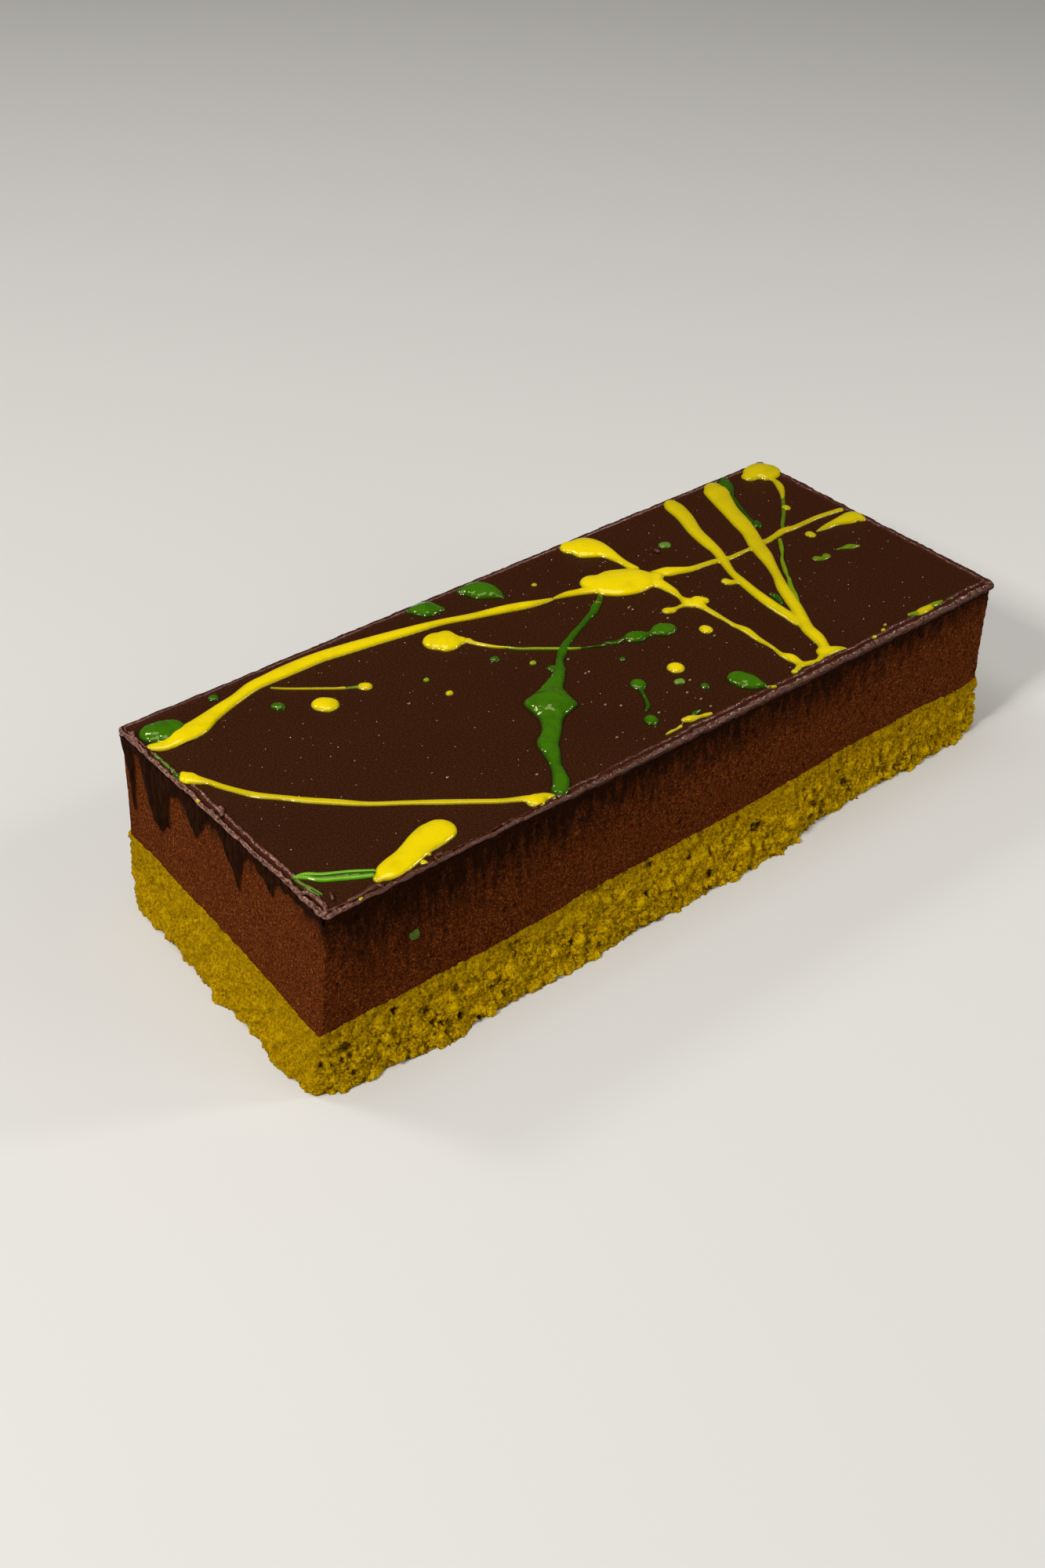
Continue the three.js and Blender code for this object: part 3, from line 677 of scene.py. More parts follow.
# %% Where the mousse meets the sponge
SPONGE_MIDDLE, SPONGE_SLOPES = 15.6, (0.006, 0.062)
CRUST_FRONT = [[-92, 0.4], [-75, 0.3], [-52, -0.6], [-34, -0.6], [-28, 0.6], [-17, 0.1], [0, -0.1],
               [24, -0.7], [46, 0.8], [71, 0.7], [82, -0.3], [90, 0.4]]
CRUST_BACK = [[-90, -0.2], [-60, 0.5], [-25, -0.4], [5, 0.4], [40, -0.5], [70, 0.4], [90, -0.1]]
CRUST_LEFT = [[-34, -0.1], [-28, -0.3], [-19, 0.4], [-9, 0.9], [3, 0.9], [14, 0.3], [24, 0.9], [34, -0.1]]
CRUST_RIGHT = [[-34, 0.3], [-12, -0.4], [10, 0.4], [34, -0.1]]


def crust(outline, plan):
    """The height of the sponge's top under each point of a ring."""
    wave = by_side(outline, CRUST_FRONT, CRUST_BACK, CRUST_LEFT, CRUST_RIGHT)
    return SPONGE_MIDDLE + plan @ SPONGE_SLOPES + wave


print("the sponge is", SPONGE_MIDDLE, "mm thick in the middle")

# %% [markdown]
# ## The sponge base
# Torn by the knife, the sponge swells out and crumbles at its foot, most on the long sides. Its left end
# was cut cleaner, so the "coarse" mark is lower there. The side has 58 rows of small quads, fine enough
# for the tree to press real pores into them, and the hidden top and underside have only one ring each.

# %% Build the sponge
SWELL_FRONT = [
    [-90, 0.5], [-84, 3.5], [-60, 4.8], [-20, 4], [22, 5], [38, 2.4], [50, 1.4], [70, 2.9], [90, 0],
]
SWELL_BACK = [[-90, 0.5], [-72, 3.6], [-40, 4.6], [-6, 3.4], [30, 4.4], [62, 4.8], [80, 2.6], [90, 0]]
SWELL_LEFT = [[-35, 0.8], [-27, 2], [-21, 1.6], [-16, 0.3], [-8, 1.2], [8, 0.4], [35, 0]]
SWELL_RIGHT = [[-35, 0], [-18, 2], [4, 2.6], [22, 1.4], [35, 0.4]]
SPONGE_SPACINGS, SPONGE_ROWS = (0.45, 0.45, 0.27, 0.26), 58
HOLLOWS = [  # the larger holes of the front: x, z, half width
    [-91.3, 6.3, 1.1], [-89.4, 6.4, 0.8], [-87.4, 6.5, 0.9], [-85.6, 6.4, 0.8], [-85.6, 3.2, 0.7],
    [-81.5, 4.6, 0.8], [-77.4, 4.4, 0.8], [-69.6, 8.5, 0.7], [-74.8, 10.8, 0.8], [-67.8, 5, 0.9],
    [-66.2, 4.2, 0.7], [-66.3, 2.4, 0.8], [-61.9, 3.8, 0.8], [-58, 0.3, 1.1], [-53.2, 5.3, 0.7],
    [-51.3, 2.9, 0.9], [-45.6, 10.9, 0.7], [-33.2, 5.3, 0.8], [-32.8, 2.5, 0.7], [-13, 6.5, 0.8],
    [4, 3.5, 0.9], [19, 8, 0.8], [37, 4, 0.8], [58, 6.5, 0.9], [76, 4.5, 0.8],
]
HOLLOW_DEPTH, HOLLOW_SPREAD, HOLLOW_RAGGEDNESS = 1.3, 0.8, 0.35
CRUMB_SIZE, CRUMB_DEPTH, LUMP_SIZE, LUMP_DEPTH = 2.6, 0.75, 9, 0.6
TOP_ROUGHNESS = 0.4  # at the sponge's top, as a share of that at its foot
# Less coarseness at the top also darkens the crumb's colour there, as painted shade under the mousse. The
# left end's lower share darkens it too.
CLEAN_END, CLEAN_AND_SHADED_TOP = 0.68, 0.45  # the left end's share of coarseness, and how much less the top has
CLOSING_INSET = 3  # mm, of the ring that closes a layer's top and underside

outline = Outline(*SPONGE_SPACINGS)
swell = by_side(outline, SWELL_FRONT, SWELL_BACK, SWELL_LEFT, SWELL_RIGHT)
hollow_x, hollow_z, hollow_size = np.array(HOLLOWS).T
in_front = outline.ways[:, 1] < -0.5
rings, coarse_marks, hollow_marks = [], [], []
for share in [-1, *np.linspace(0, 1, SPONGE_ROWS), 2]:
    closing = share < 0 or share > 1
    share = min(max(share, 0), 1)
    plan = outline.plan(CLOSING_INSET if closing else 0)
    z = crust(outline, plan) * share
    points = with_height(plan, z)
    rough = CRUMB_DEPTH * lumps(points, CRUMB_SIZE) + LUMP_DEPTH * lumps(points, LUMP_SIZE)
    stand_out = 0 if closing else swell * (1 - share) + rough * (1 - (1 - TOP_ROUGHNESS) * share)
    spots = place(plan, z)
    ragged = HOLLOW_RAGGEDNESS * lumps(points, 0.7)[:, None]
    away = np.hypot(spots[:, :1] - hollow_x, z[:, None] - hollow_z) / (HOLLOW_SPREAD * hollow_size) + ragged
    sunk = HOLLOW_DEPTH * np.sqrt(np.clip(1 - away ** 2, 0, 1)).max(axis=1) * in_front * (not closing)
    spots = spots + outline.ways * np.broadcast_to(stand_out - sunk, len(plan))[:, None]
    rings.append(with_height(spots, z))
    finer_end = np.where(outline.ways[:, 0] < -0.5, CLEAN_END, 1)
    coarse_marks.append(np.zeros(len(plan)) if closing else finer_end * (1 - CLEAN_AND_SHADED_TOP * share ** 3))
    hollow_marks.append(sunk)
sponge = ring_piece("sponge_crumb", np.array(rings), {
    "coarse": np.array(coarse_marks), "hollow": np.array(hollow_marks)})
run_tree(sponge, relief, {
    "Grain Size": 0.9, "Grain Height": 0.7, "Roughness Height": 1.3, "Side Slip": 0.9,
    "Upright Stretch": 1.0, "Crag Size": 3.8, "Crag Height": 0.95, "Pore Spacing": 3.6, "Pore Radius": 1.3,
    "Small Pore Spacing": 1.8, "Small Pore Radius": 0.65, "Pore Raggedness": 2.0, "Material": sponge_look})
keep_plain(sponge, sponge_look)
finish_piece(sponge, "sponge_base")

# %% [markdown]
# ## Loose granules
# The torn side is sprinkled with single granules of crumb, a fifth to a half of a millimetre across.
# There are thousands, so a tree scatters them: points on the faces, a twenty-sided ball on each point
# with a size and turn of its own, and a "crest" value drawn for each, so that some are paler than others.

# %% The scatter tree
FOOT_BAND, FOOT_SHARE, SIDE_SHARE = 4 * MM, 2.6, 0.8  # more granules lie at the foot
scatter, inputs = new_tree("Scattered granules", ["Density", "Least Radius", "Most Radius"])
coarse = add(scatter, "GeometryNodeInputNamedAttribute", {"Name": "coarse"}, data_type="FLOAT")
density = add(scatter, MATH, inputs["Density"], coarse, operation="MULTIPLY")
height = add(scatter, AXES, add(scatter, "GeometryNodeInputPosition")).outputs["Z"]
at_foot = add(scatter, RANGE, {
    "Value": height, "From Max": FOOT_BAND, "To Min": FOOT_SHARE, "To Max": SIDE_SHARE})
density = add(scatter, MATH, density, at_foot, operation="MULTIPLY")
spots = add(scatter, "GeometryNodeDistributePointsOnFaces", {
    "Mesh": inputs["Geometry"], "Density": density, "Seed": 11})
turn = add(scatter, "FunctionNodeRandomValue", {
    "Max": (6.28, 6.28, 6.28), "Seed": 2}, data_type="FLOAT_VECTOR")
radii = add(scatter, "FunctionNodeRandomValue", {
    "Min": inputs["Least Radius"], "Max": inputs["Most Radius"], "Seed": 3}, data_type="FLOAT_VECTOR")
granule = add(scatter, "GeometryNodeMeshIcoSphere", {"Radius": 1, "Subdivisions": 1})
granules = add(scatter, "GeometryNodeInstanceOnPoints", {
    "Points": spots, "Instance": granule.outputs["Mesh"], "Rotation": turn, "Scale": radii})
tone = add(scatter, "FunctionNodeRandomValue", {2: 0.0, 3: 1.2, "Seed": 4}, data_type="FLOAT")
granules = add(scatter, "GeometryNodeStoreNamedAttribute", {
    "Geometry": granules, "Name": "crest", "Value": tone}, data_type="FLOAT", domain="INSTANCE")
real = add(scatter, "GeometryNodeRealizeInstances", {"Geometry": granules})
here = add(scatter, "GeometryNodeInputPosition")
lowest = add(scatter, VECTORS, here, ABOVE_FLOOR, operation="MAXIMUM")
standing = add(scatter, "GeometryNodeSetPosition", {"Geometry": real, "Position": lowest})
end_tree(scatter, standing, inputs["Material"])
print("scatter tree:", len(scatter.nodes), "nodes")

# %% Sprinkle the sponge
granules = put("sponge_granules", sponge.data.copy())
run_tree(granules, scatter, {
    "Density": 0.33 / MM ** 2, "Least Radius": 0.1 * MM, "Most Radius": 0.23 * MM, "Material": sponge_look})
keep_plain(granules, sponge_look)
finish_piece(granules, "sponge_base")

# %% [markdown]
# ## The mousse
# The same tree with smaller, shallower and upright pores gives the cut mousse. The "fringe" mark divides
# each point's depth below the rim by how far the dark band under the rim reaches there, which was read
# along each side: the band is partly glaze that soaked in, partly painted shade under the rolled edge.

# %% Build the mousse
MOUSSE_SPACINGS, MOUSSE_ROWS = (0.6, 0.6, 0.36, 0.3), 72
MOUSSE_INSET, MOUSSE_WAVE_SIZE, MOUSSE_WAVE_DEPTH = 0.4, 12, 0.25
CUT_END, CUT_START, CUT_FADE = 0.35, 0.1, 8  # coarseness at the left end, at the foot, and its growth
# How far the dark band under the rim reaches on each side, in mm: partly soaked glaze, partly painted shade.
SOAK_AND_SHADE_FRONT = [[-92, 5], [-86, 9.8], [-80, 15], [-74, 11.6], [-71, 15.4], [-64, 13], [-56, 12], [-47, 11.5],
              [-38, 11], [-24, 10], [2, 9.6], [24, 9.4], [48, 9], [60, 7.6], [72, 6.6], [90, 6.2]]
SOAK_AND_SHADE_BACK = [[-90, 4.5], [-40, 6], [20, 5], [90, 4.5]]
SOAK_AND_SHADE_LEFT = [[-35, 6], [-32, 5], [-26, 3], [-20, 3], [-8, 4], [12, 4.5], [30, 4], [35, 4]]
SOAK_AND_SHADE_RIGHT = [[-35, 4], [35, 4]]


def mousse_out(points):
    """How far the mousse's side stands out from the outline, at each plan point and height."""
    return MOUSSE_WAVE_DEPTH * lumps(points, MOUSSE_WAVE_SIZE) - MOUSSE_INSET


outline = Outline(*MOUSSE_SPACINGS)
soak_and_shade = by_side(outline, SOAK_AND_SHADE_FRONT, SOAK_AND_SHADE_BACK, SOAK_AND_SHADE_LEFT, SOAK_AND_SHADE_RIGHT)
rings, coarse_marks, fringe_marks = [], [], []
for share in [-1, *np.linspace(0, 1, MOUSSE_ROWS), 2]:
    closing = share < 0 or share > 1
    share = min(max(share, 0), 1)
    plan = outline.plan(CLOSING_INSET if closing else 0)
    low = crust(outline, plan) - GAP
    z = low + (GLAZE_LOW - 0.1 - low) * share
    spots = place(plan, z)
    if not closing:
        spots = spots + outline.ways * mousse_out(with_height(plan, z))[:, None]
    rings.append(with_height(spots, z))
    finer_end = np.where(outline.ways[:, 0] < -0.5, CUT_END, 1)
    coarse_marks.append(np.zeros(len(plan)) if closing else finer_end * min(1, CUT_FADE * share + CUT_START))
    fringe_marks.append((HEIGHT - z) / soak_and_shade)
mousse = ring_piece("mousse_block", np.array(rings), {
    "coarse": np.array(coarse_marks), "fringe": np.array(fringe_marks)})
run_tree(mousse, relief, {
    "Grain Size": 0.9, "Grain Height": 0.2, "Roughness Height": 0.6, "Side Slip": 0.25,
    "Upright Stretch": 1.5, "Crag Size": 3.0, "Crag Height": 0.0, "Pore Spacing": 2.4, "Pore Radius": 0.6,
    "Small Pore Spacing": 1.15, "Small Pore Radius": 0.45, "Pore Raggedness": 0.9, "Material": mousse_look})
keep_plain(mousse, mousse_look)
finish_piece(mousse, "chocolate_mousse")

# %% [markdown]
# ## The glaze
# A thin sheet with a rolled edge. In section the edge has two low ridges with a groove between them,
# then it turns down over the mousse. The section is written once, as how far inside the outline and how
# far below the rim each point lies, and is swept round the bar. Along the way the band narrows to a
# single ridge, the roll bulges out and hangs lower on the long side, and noise swells, thins and breaks
# it, so that it catches the light in short glints. Each row of quads gets one of five materials.

# %% Build the glaze
GLAZE_SPACINGS = (0.35, 0.35, 0.26, 0.26)
WALL_SECTION = [[3.0, 3.5], [0.8, 3.5], [0, 3.4], [0, 3.1], [0, 2.7], [0, 2.3], [0, 1.9], [0, 1.5]]
RIM_SECTION = [  # inside the outline, below the rim, share of the noise
    [0.4, 1.25, 0.8], [0.22, 1.16, 1], [0.06, 1.02, 1], [-0.05, 0.84, 1], [-0.1, 0.62, 1], [-0.06, 0.38, 1],
    [0.06, 0.17, 1], [0.22, 0.05, 1], [0.38, 0.02, 1], [0.54, 0.12, 1], [0.72, 0.4, 0.9], [1.0, 0.58, 0.7],
    [1.25, 0.56, 0.8], [1.42, 0.34, 1], [1.56, 0.1, 1], [1.74, 0.08, 1], [1.92, 0.32, 0.8], [2.2, 0.53, 0.4],
    [2.8, 0.59, 0.1], [6, 0.6, 0], [14, 0.6, 0], [24, 0.6, 0], [31, 0.6, 0]]
OUTER_RIDGE, INNER_RIDGE, RIM_FOOT = 0.54, 1.92, 2.8  # where the section's ridges end
WANDER_IN = [(0.22, 4, 0, 0), (0.22, 1.3, 50, 0), (0.14, 0.8, (0, 0, 20), 0.9)]  # noise in and out
WANDER_UP = [(0.2, 3, (0, 0, 100), 0), (0.22, 0.9, (0, 0, 40), 0.6)]  # noise up and down
GROOVE_FILL, HANG_OUT, HANG_DOWN, SETTLED = 0.3, 0.8, 0.9, 0.2
LOW_WANDER = 0.4  # the share of the noise where the roll turns under
SOAK_AND_SHADE_LEAST, SOAK_AND_SHADE_SHARE, SOAK_AND_SHADE_REACH = 0.04, 0.25, 8  # how the band darkened by soaked glaze and painted shade starts below the roll
UNDER_ROWS, ROLL_ROWS = 3, 17  # the rows of quads under the roll, and up to its end
GLOSSY_ROWS = [4, 5, 6, 7, 13, 14, 15]  # the rows on the two ridges, which stay glossy
BAND_FRONT = [[-90, 0.9], [-80, 0.85], [-60, 0.75], [-42, 0.75], [-34, 1.6], [-20, 1.9], [20, 2], [90, 2]]
BAND_BACK = [[-90, 0.9], [90, 0.9]]
BAND_LEFT = [[-35, 2.0], [-30, 2.3], [12, 2.2], [20, 1.4], [35, 1.0]]
BAND_RIGHT = [[-35, 1.2], [35, 1.0]]
SINGLE_BAND = 0.9  # mm, the band that is one ridge without a groove
BULGE_FRONT = [[-90, 0], [-45, 0], [-25, 0.3], [20, 0.5], [90, 0.6]]  # how far the roll hangs out and down

outline = Outline(*GLAZE_SPACINGS)
run = with_height(outline.plan(), 0.0)
band = by_side(outline, BAND_FRONT, BAND_BACK, BAND_LEFT, BAND_RIGHT) + 0.25 * lumps(run + (0, 0, 7), 5)
open_groove = np.clip(band - SINGLE_BAND, 0, 1)
bulge = by_side(outline, BULGE_FRONT, [[0, 0]], [[0, 0]], [[0, 0.2]])
lively = by_side(outline, [[0, 1]], [[0, 0.4]], [[0, 1]], [[0, 0.7]])  # how much the edge wanders
rings = []
for inside, below in WALL_SECTION:
    plan = outline.plan(inside)
    z = np.full(len(plan), HEIGHT - below)
    flush = outline.ways * mousse_out(with_height(plan, z))[:, None] if inside == 0 else 0
    rings.append(with_height(place(plan, z) + flush, z))
for step, (inside, below, share) in enumerate(RIM_SECTION):
    wander, shift = layered(WANDER_IN, run, step), layered(WANDER_UP, run, step)
    in_roll = np.clip((inside - OUTER_RIDGE) / (INNER_RIDGE - OUTER_RIDGE), 0, 1)
    past_roll = np.clip((inside - INNER_RIDGE) / (RIM_FOOT - INNER_RIDGE), 0, 1)
    across = min(inside, OUTER_RIDGE) + in_roll * (band - OUTER_RIDGE) + past_roll * (RIM_FOOT - band)
    groove = (1 - open_groove) * GROOVE_FILL * math.sin(math.pi * in_roll) * (past_roll == 0)
    hang = bulge * np.clip(below, 0, 1) * (inside < OUTER_RIDGE)
    wander = wander * (1 if below < 0.5 else LOW_WANDER)
    plan = outline.plan(max(inside - RIM_FOOT, 0) + across - HANG_OUT * hang + share * lively * wander)
    z = HEIGHT - below + groove - HANG_DOWN * hang + share * (lively * shift - SETTLED)
    rings.append(with_height(place(plan, z), z))
# The lower wall wears the mousse material, darkened like the mousse under the rim: partly soaked glaze,
# partly painted shade.
depths = [below for _, below in WALL_SECTION] + [1.0] * len(RIM_SECTION)
soak_and_shade_share = SOAK_AND_SHADE_LEAST + SOAK_AND_SHADE_SHARE * np.array(depths) / SOAK_AND_SHADE_REACH
glaze = ring_piece("glaze_sheet", np.array(rings), {
    "inside": 2.0, "fringe": np.repeat(soak_and_shade_share[:, None], len(run), 1), "coarse": 1.0, "pore": 0.0})
row = np.arange(len(glaze.data.polygons)) // len(run) - len(WALL_SECTION)  # which ring of quads a face is in
hanging = np.tile(bulge > 0.1, len(rings) - 1)
hanging = np.append(hanging, np.zeros(len(row) - len(hanging), bool))
# The rows under the roll wear the almost black soaked material, which paints the shade under its overhang.
under = (row < UNDER_ROWS) & ~hanging
wall_look, under_look, ridge_look, dull_look, top_look = 1, 3, 2, 4, 0  # places in the list of materials
# The ridge rows wear the edge material, whose pale colour is a painted glint.
worn = np.select(
    [row < 0, under, np.isin(row, GLOSSY_ROWS), row < ROLL_ROWS],
    [wall_look, under_look, ridge_look, dull_look], top_look)
glaze.data.polygons.foreach_set("material_index", worn)
keep_plain(glaze, sheet_look, mousse_look, rim_glint_look, run_look, groove_look)
finish_piece(glaze, "chocolate_glaze")

# %% [markdown]
# ## Glaze runs on the left end
# Some glaze ran down the left end while it was still warm, in tongues of different lengths. They are one
# thin skin: its thickness grows with the distance from the edge of a tongue, and outside the tongues the
# skin dips into the mousse, so its visible outline is soft, like a real drip's.

# %% Build the runs
RUNS = [
    [34.8, 3], [33.2, 9], [31.2, 17.5], [30.2, 17.5], [29.8, 4], [28, 3], [26, 9.5], [23.6, 15.5],
    [20.5, 15.8], [17.4, 13], [16.6, 6], [14, 3.6], [11.4, 5], [9.6, 8], [6.8, 9.4], [3.4, 4.2], [1.6, 2.6],
    [-0.5, 3.6], [-3.8, 7.6], [-8.3, 12.4], [-9, 5.6], [-10.4, 3.2], [-14.4, 4.6], [-19, 7.4], [-20.2, 3.4],
    [-27, 2.8], [-34, 3],
]
RUN_THICKNESS, RUN_SOFTNESS, RUN_DIP = 0.5, 1.1, 0.5
RUN_ROUNDNESS, RUN_STREAKS = 0.6, 0.2
TIP_ACROSS, TIP_BELOW = [(0.5, 1.6, 0, 0), (0.25, 0.7, 30, 0)], [(0.8, 1.4, 60, 0)]  # ragged outlines
RUN_ANCHOR = (-80, 0, 32)  # inside the mousse, where the skin's edge is drawn together


def grid_piece(name, grid, behind, marks):
    """A closed piece from a grid of points in mm, its edge drawn together at one hidden point."""
    tall, wide = grid.shape[:2]
    points = np.concatenate([grid.reshape(-1, 3), [behind]])
    index = np.arange(tall * wide).reshape(tall, wide)
    quads = np.stack([index[:-1, :-1], index[:-1, 1:], index[1:, 1:], index[1:, :-1]], -1).reshape(-1, 4)
    edge = np.concatenate([index[0, :-1], index[:-1, -1], index[-1, :0:-1], index[:0:-1, 0]])
    fan = np.stack([np.roll(edge, -1), edge, np.full(len(edge), tall * wide)], 1)
    spread = {mark: np.append(values, 0) for mark, values in marks.items()}
    return new_piece(name, points, [], [*quads.tolist(), *fan.tolist()], spread)


across, below = np.meshgrid(np.arange(34.6, -34.6, -0.3), np.arange(19.5, 1.2, -0.35))
tips = np.array(RUNS)[::-1]
starts, ends = tips[:-1], tips[1:]
ragged = np.stack([across, below * 0.5, below * 0], -1)
bent_across, bent_below = across + layered(TIP_ACROSS, ragged), below + layered(TIP_BELOW, ragged)
spots = np.stack([bent_across, bent_below], -1)[..., None, :]
steps = ends - starts
share = np.clip(((spots - starts) * steps).sum(-1) / (steps ** 2).sum(-1), 0, 1)
nearest = np.linalg.norm(spots - starts - share[..., None] * steps, axis=-1).min(-1)
inside = np.where(bent_below < along(tips, bent_across), nearest, -nearest)
drawn = lumps(np.stack([across, below * 0.12, below * 0], -1), 1.2)
skin = RUN_THICKNESS * np.clip(inside / RUN_SOFTNESS, 0, 1) ** RUN_ROUNDNESS * (1 + RUN_STREAKS * drawn)
skin = np.where(inside < 0, -RUN_DIP * np.clip(-inside / RUN_DIP, 0, 1), skin)
plan = np.stack([np.full(across.shape, -1.0 * HALF_LENGTH), across], -1)
z = HEIGHT - below
face = place(plan, z)
face[..., 0] -= mousse_out(with_height(plan, z)) + skin
runs = grid_piece("glaze_runs", with_height(face, z), RUN_ANCHOR, {"inside": inside})
keep_plain(runs, run_look)
finish_piece(runs, "chocolate_glaze")

# %% [markdown]
# ## Drizzle: the strokes
# The drizzle was flicked across the set glaze. Each stroke is a short list of points with a half width,
# given in millimetres. A smooth path goes through them, and the yellow, which fell last, climbs
# over the green where they cross.

# %% Stroke lists
YELLOW = [
    [[-85, 27.5, 1.3], [-83, 26.5, 1.8], [-80.5, 26.5, 2.2], [-78.5, 27, 2.7], [-75, 27.5, 2.8],
     [-71, 29, 2.2], [-67, 30.3, 1.9], [-63, 31.4, 1.7], [-58.5, 32.8, 1.9], [-54.5, 33.1, 2],
     [-50.5, 33.2, 2.2], [-43, 33.2, 2.1], [-36, 32.2, 2.1], [-29, 31, 1.9], [-22, 29.6, 1.7],
     [-14.5, 28, 1.3], [-8, 25.7, 1.3], [-1, 23.6, 1.6], [3, 22.2, 1.6], [6.5, 21, 1.2], [9.5, 20.3, 0.7]],
    [[10.5, 20.2, 0.6], [13.5, 19.7, 1.2], [16.5, 18.6, 1.4], [19.5, 17.6, 2]],
    [[21, 19.6, 3.2], [22.2, 18.2, 4.8], [24, 16.8, 5.5], [26, 15.7, 5.6], [28.5, 14.6, 5.2],
     [30.8, 13.6, 4], [32.8, 12.8, 2.2]],
    [[27.3, 34.4, 2.8], [28.4, 33.4, 4.1], [29.7, 32, 4.5], [31, 29.8, 3.7], [31.8, 27.5, 2.4],
     [32, 24.3, 1.5], [32, 21.5, 1.2], [32, 18.5, 1.4]],
    [[34, 14.5, 1], [36.5, 13, 2], [38.5, 12, 1.7], [41.5, 10.5, 1.2], [45, 10, 1], [48, 9.5, 1],
     [51, 8.5, 0.9], [54.5, 8.5, 0.8], [58, 8.5, 0.7], [63, 8.5, 1], [66.5, 9, 1], [70, 9.5, 1.2],
     [72.5, 9, 1], [76.5, 9, 0.9], [80, 9, 0.9], [84, 8.5, 0.9], [87.2, 8, 0.9]],
    [[58.6, 35, 2], [58.2, 33.6, 2.4], [56.8, 28.5, 2.2], [54, 22, 1.9], [52.5, 16.5, 1.8],
     [51.5, 12.5, 1.5], [49.5, 8, 1.3], [47.5, 3.5, 1.1], [46.5, -0.5, 1.3], [45.5, -5, 1.4],
     [44.5, -11.5, 1.6], [44, -17, 1.5], [43.5, -20, 1.3]],
    [[45.5, 0, 0.8], [44, 1, 1.2], [43.5, 2, 1.3], [43, 2, 0.5]],
    [[71.8, 34.4, 2.5], [71.2, 33.1, 3.2], [69.4, 29.5, 2.9], [67, 24, 2.4], [65, 18.5, 2.4],
     [63, 13.5, 2.1], [60.5, 9, 2.1], [58.5, 4.5, 2], [56.5, 0.5, 1.5], [54, -4, 1.3], [51.5, -8, 1.6],
     [49.5, -12, 1.7], [47, -17, 1.6], [43.5, -23, 1.7], [42.5, -26.5, 1.8], [41, -30, 1.4],
     [39.5, -31.5, 1.8]],
    [[39.5, -31.5, 1.9], [41, -32, 1.5], [42.5, -32.5, 1.1], [44, -33.5, 0.4]],
    [[39.5, -31.5, 1], [36, -33, 0.8], [34, -32.5, 0.9], [32, -32, 0.9], [30.5, -32.5, 0.8]],
    [[31.4, 12.5, 2.4], [32, 9.2, 1.7], [32, 5.8, 1.25], [31.5, 3, 0.8], [31.5, 0.5, 1.9], [32.5, -1, 2],
     [32.5, -3, 1.1], [32.5, -6.5, 0.9], [32.5, -10, 0.7], [32.5, -12.5, 0.8], [33, -15, 1.1],
     [32.5, -19.5, 0.9], [32.5, -23.5, 0.6], [32, -26.5, 0.8], [32.5, -28.5, 1.5], [32.5, -31, 1.1]],
    [[30.5, 0, 0.9], [29, 0.5, 0.7], [28, 0.5, 0.6], [26.5, 0.5, 1.2], [25.5, 1, 1.3]],
    [[32, -0.5, 1.6], [33.5, -0.5, 2.2], [34.5, -1, 1.4]],
    [[75.5, 4.5, 0.4], [78.5, 4.5, 1.1], [81.5, 4.5, 1.4], [84.5, 4, 2.2], [87, 3.5, 2.5], [87.6, 2, 1.4]],
    [[73.2, 4, 1.2], [73.2, 4.6, 1.3]],
    [[82.4, 33, 2.2], [84.2, 33.2, 3.6], [86.2, 32.8, 4.4], [86.9, 32.2, 4]],
    [[85.6, 28.5, 0.7], [85.5, 27.2, 0.9], [84.5, 25, 1.1], [82.6, 22.4, 0.8], [80.8, 20.4, 0.55]],
    [[78.1, 16.5, 1.1], [78.1, 17, 1.1]],
    [[-19.6, 22.4, 3.4], [-18.3, 21.4, 4.1], [-17, 20.4, 3.4], [-15.6, 19.6, 1.6]],
    [[-85, 16, 0.8], [-85, 14.5, 1.9], [-84, 13, 1.5], [-82.5, 11, 0.9], [-81.5, 8.5, 0.9],
     [-80, 5.5, 0.9], [-78, 2, 1], [-74.5, -2, 0.9], [-71.5, -5.5, 1], [-67.5, -9.5, 1],
     [-63.5, -13.5, 0.8], [-57.5, -18, 0.8], [-53, -21.5, 0.9], [-48.5, -25, 0.85], [-44, -28.5, 0.85],
     [-41.5, -30, 0.9], [-40, -31, 1.2], [-39, -32.5, 2.2], [-37, -32.5, 1.3], [-36, -33.5, 1.1]],
    [[-74.8, -32.3, 1.2], [-73, -32, 2.5], [-70.5, -31.5, 2.9], [-67.5, -30.8, 2.9], [-65, -29.9, 3],
     [-62.5, -29.1, 3.4], [-60, -28.6, 3.7], [-58.4, -28.4, 3.5]],
    [[-41.3, 18.7, 1.4], [-40.9, 18.3, 1.5]], [[-51.3, 18.6, 2.5], [-50.7, 17.8, 2.6]],
    [[26.7, -9.4, 1.5], [26.7, -9.9, 1.6]], [[11.7, -16.3, 2], [11.7, -16.5, 2]],
    [[10.6, 27.3, 0.8], [10.7, 27.3, 0.8]],
]
LIME = [
    [[81.4, 21, 0.6], [79.5, 19, 0.6], [75.5, 15, 0.6], [72, 12, 0.6], [69.5, 9.5, 0.5]],
    [[66.4, -4, 1.2], [67.4, -4.9, 0.8], [68.9, -4.6, 1.2]],
    [[73, -4, 0.4], [74.5, -4.5, 0.7], [76, -5, 1.2], [77, -5.5, 0.9], [78, -6, 0.5]],
    [[-45, 20.8, 0.5], [-43, 19.8, 0.6], [-41.6, 18.9, 0.8]],
]
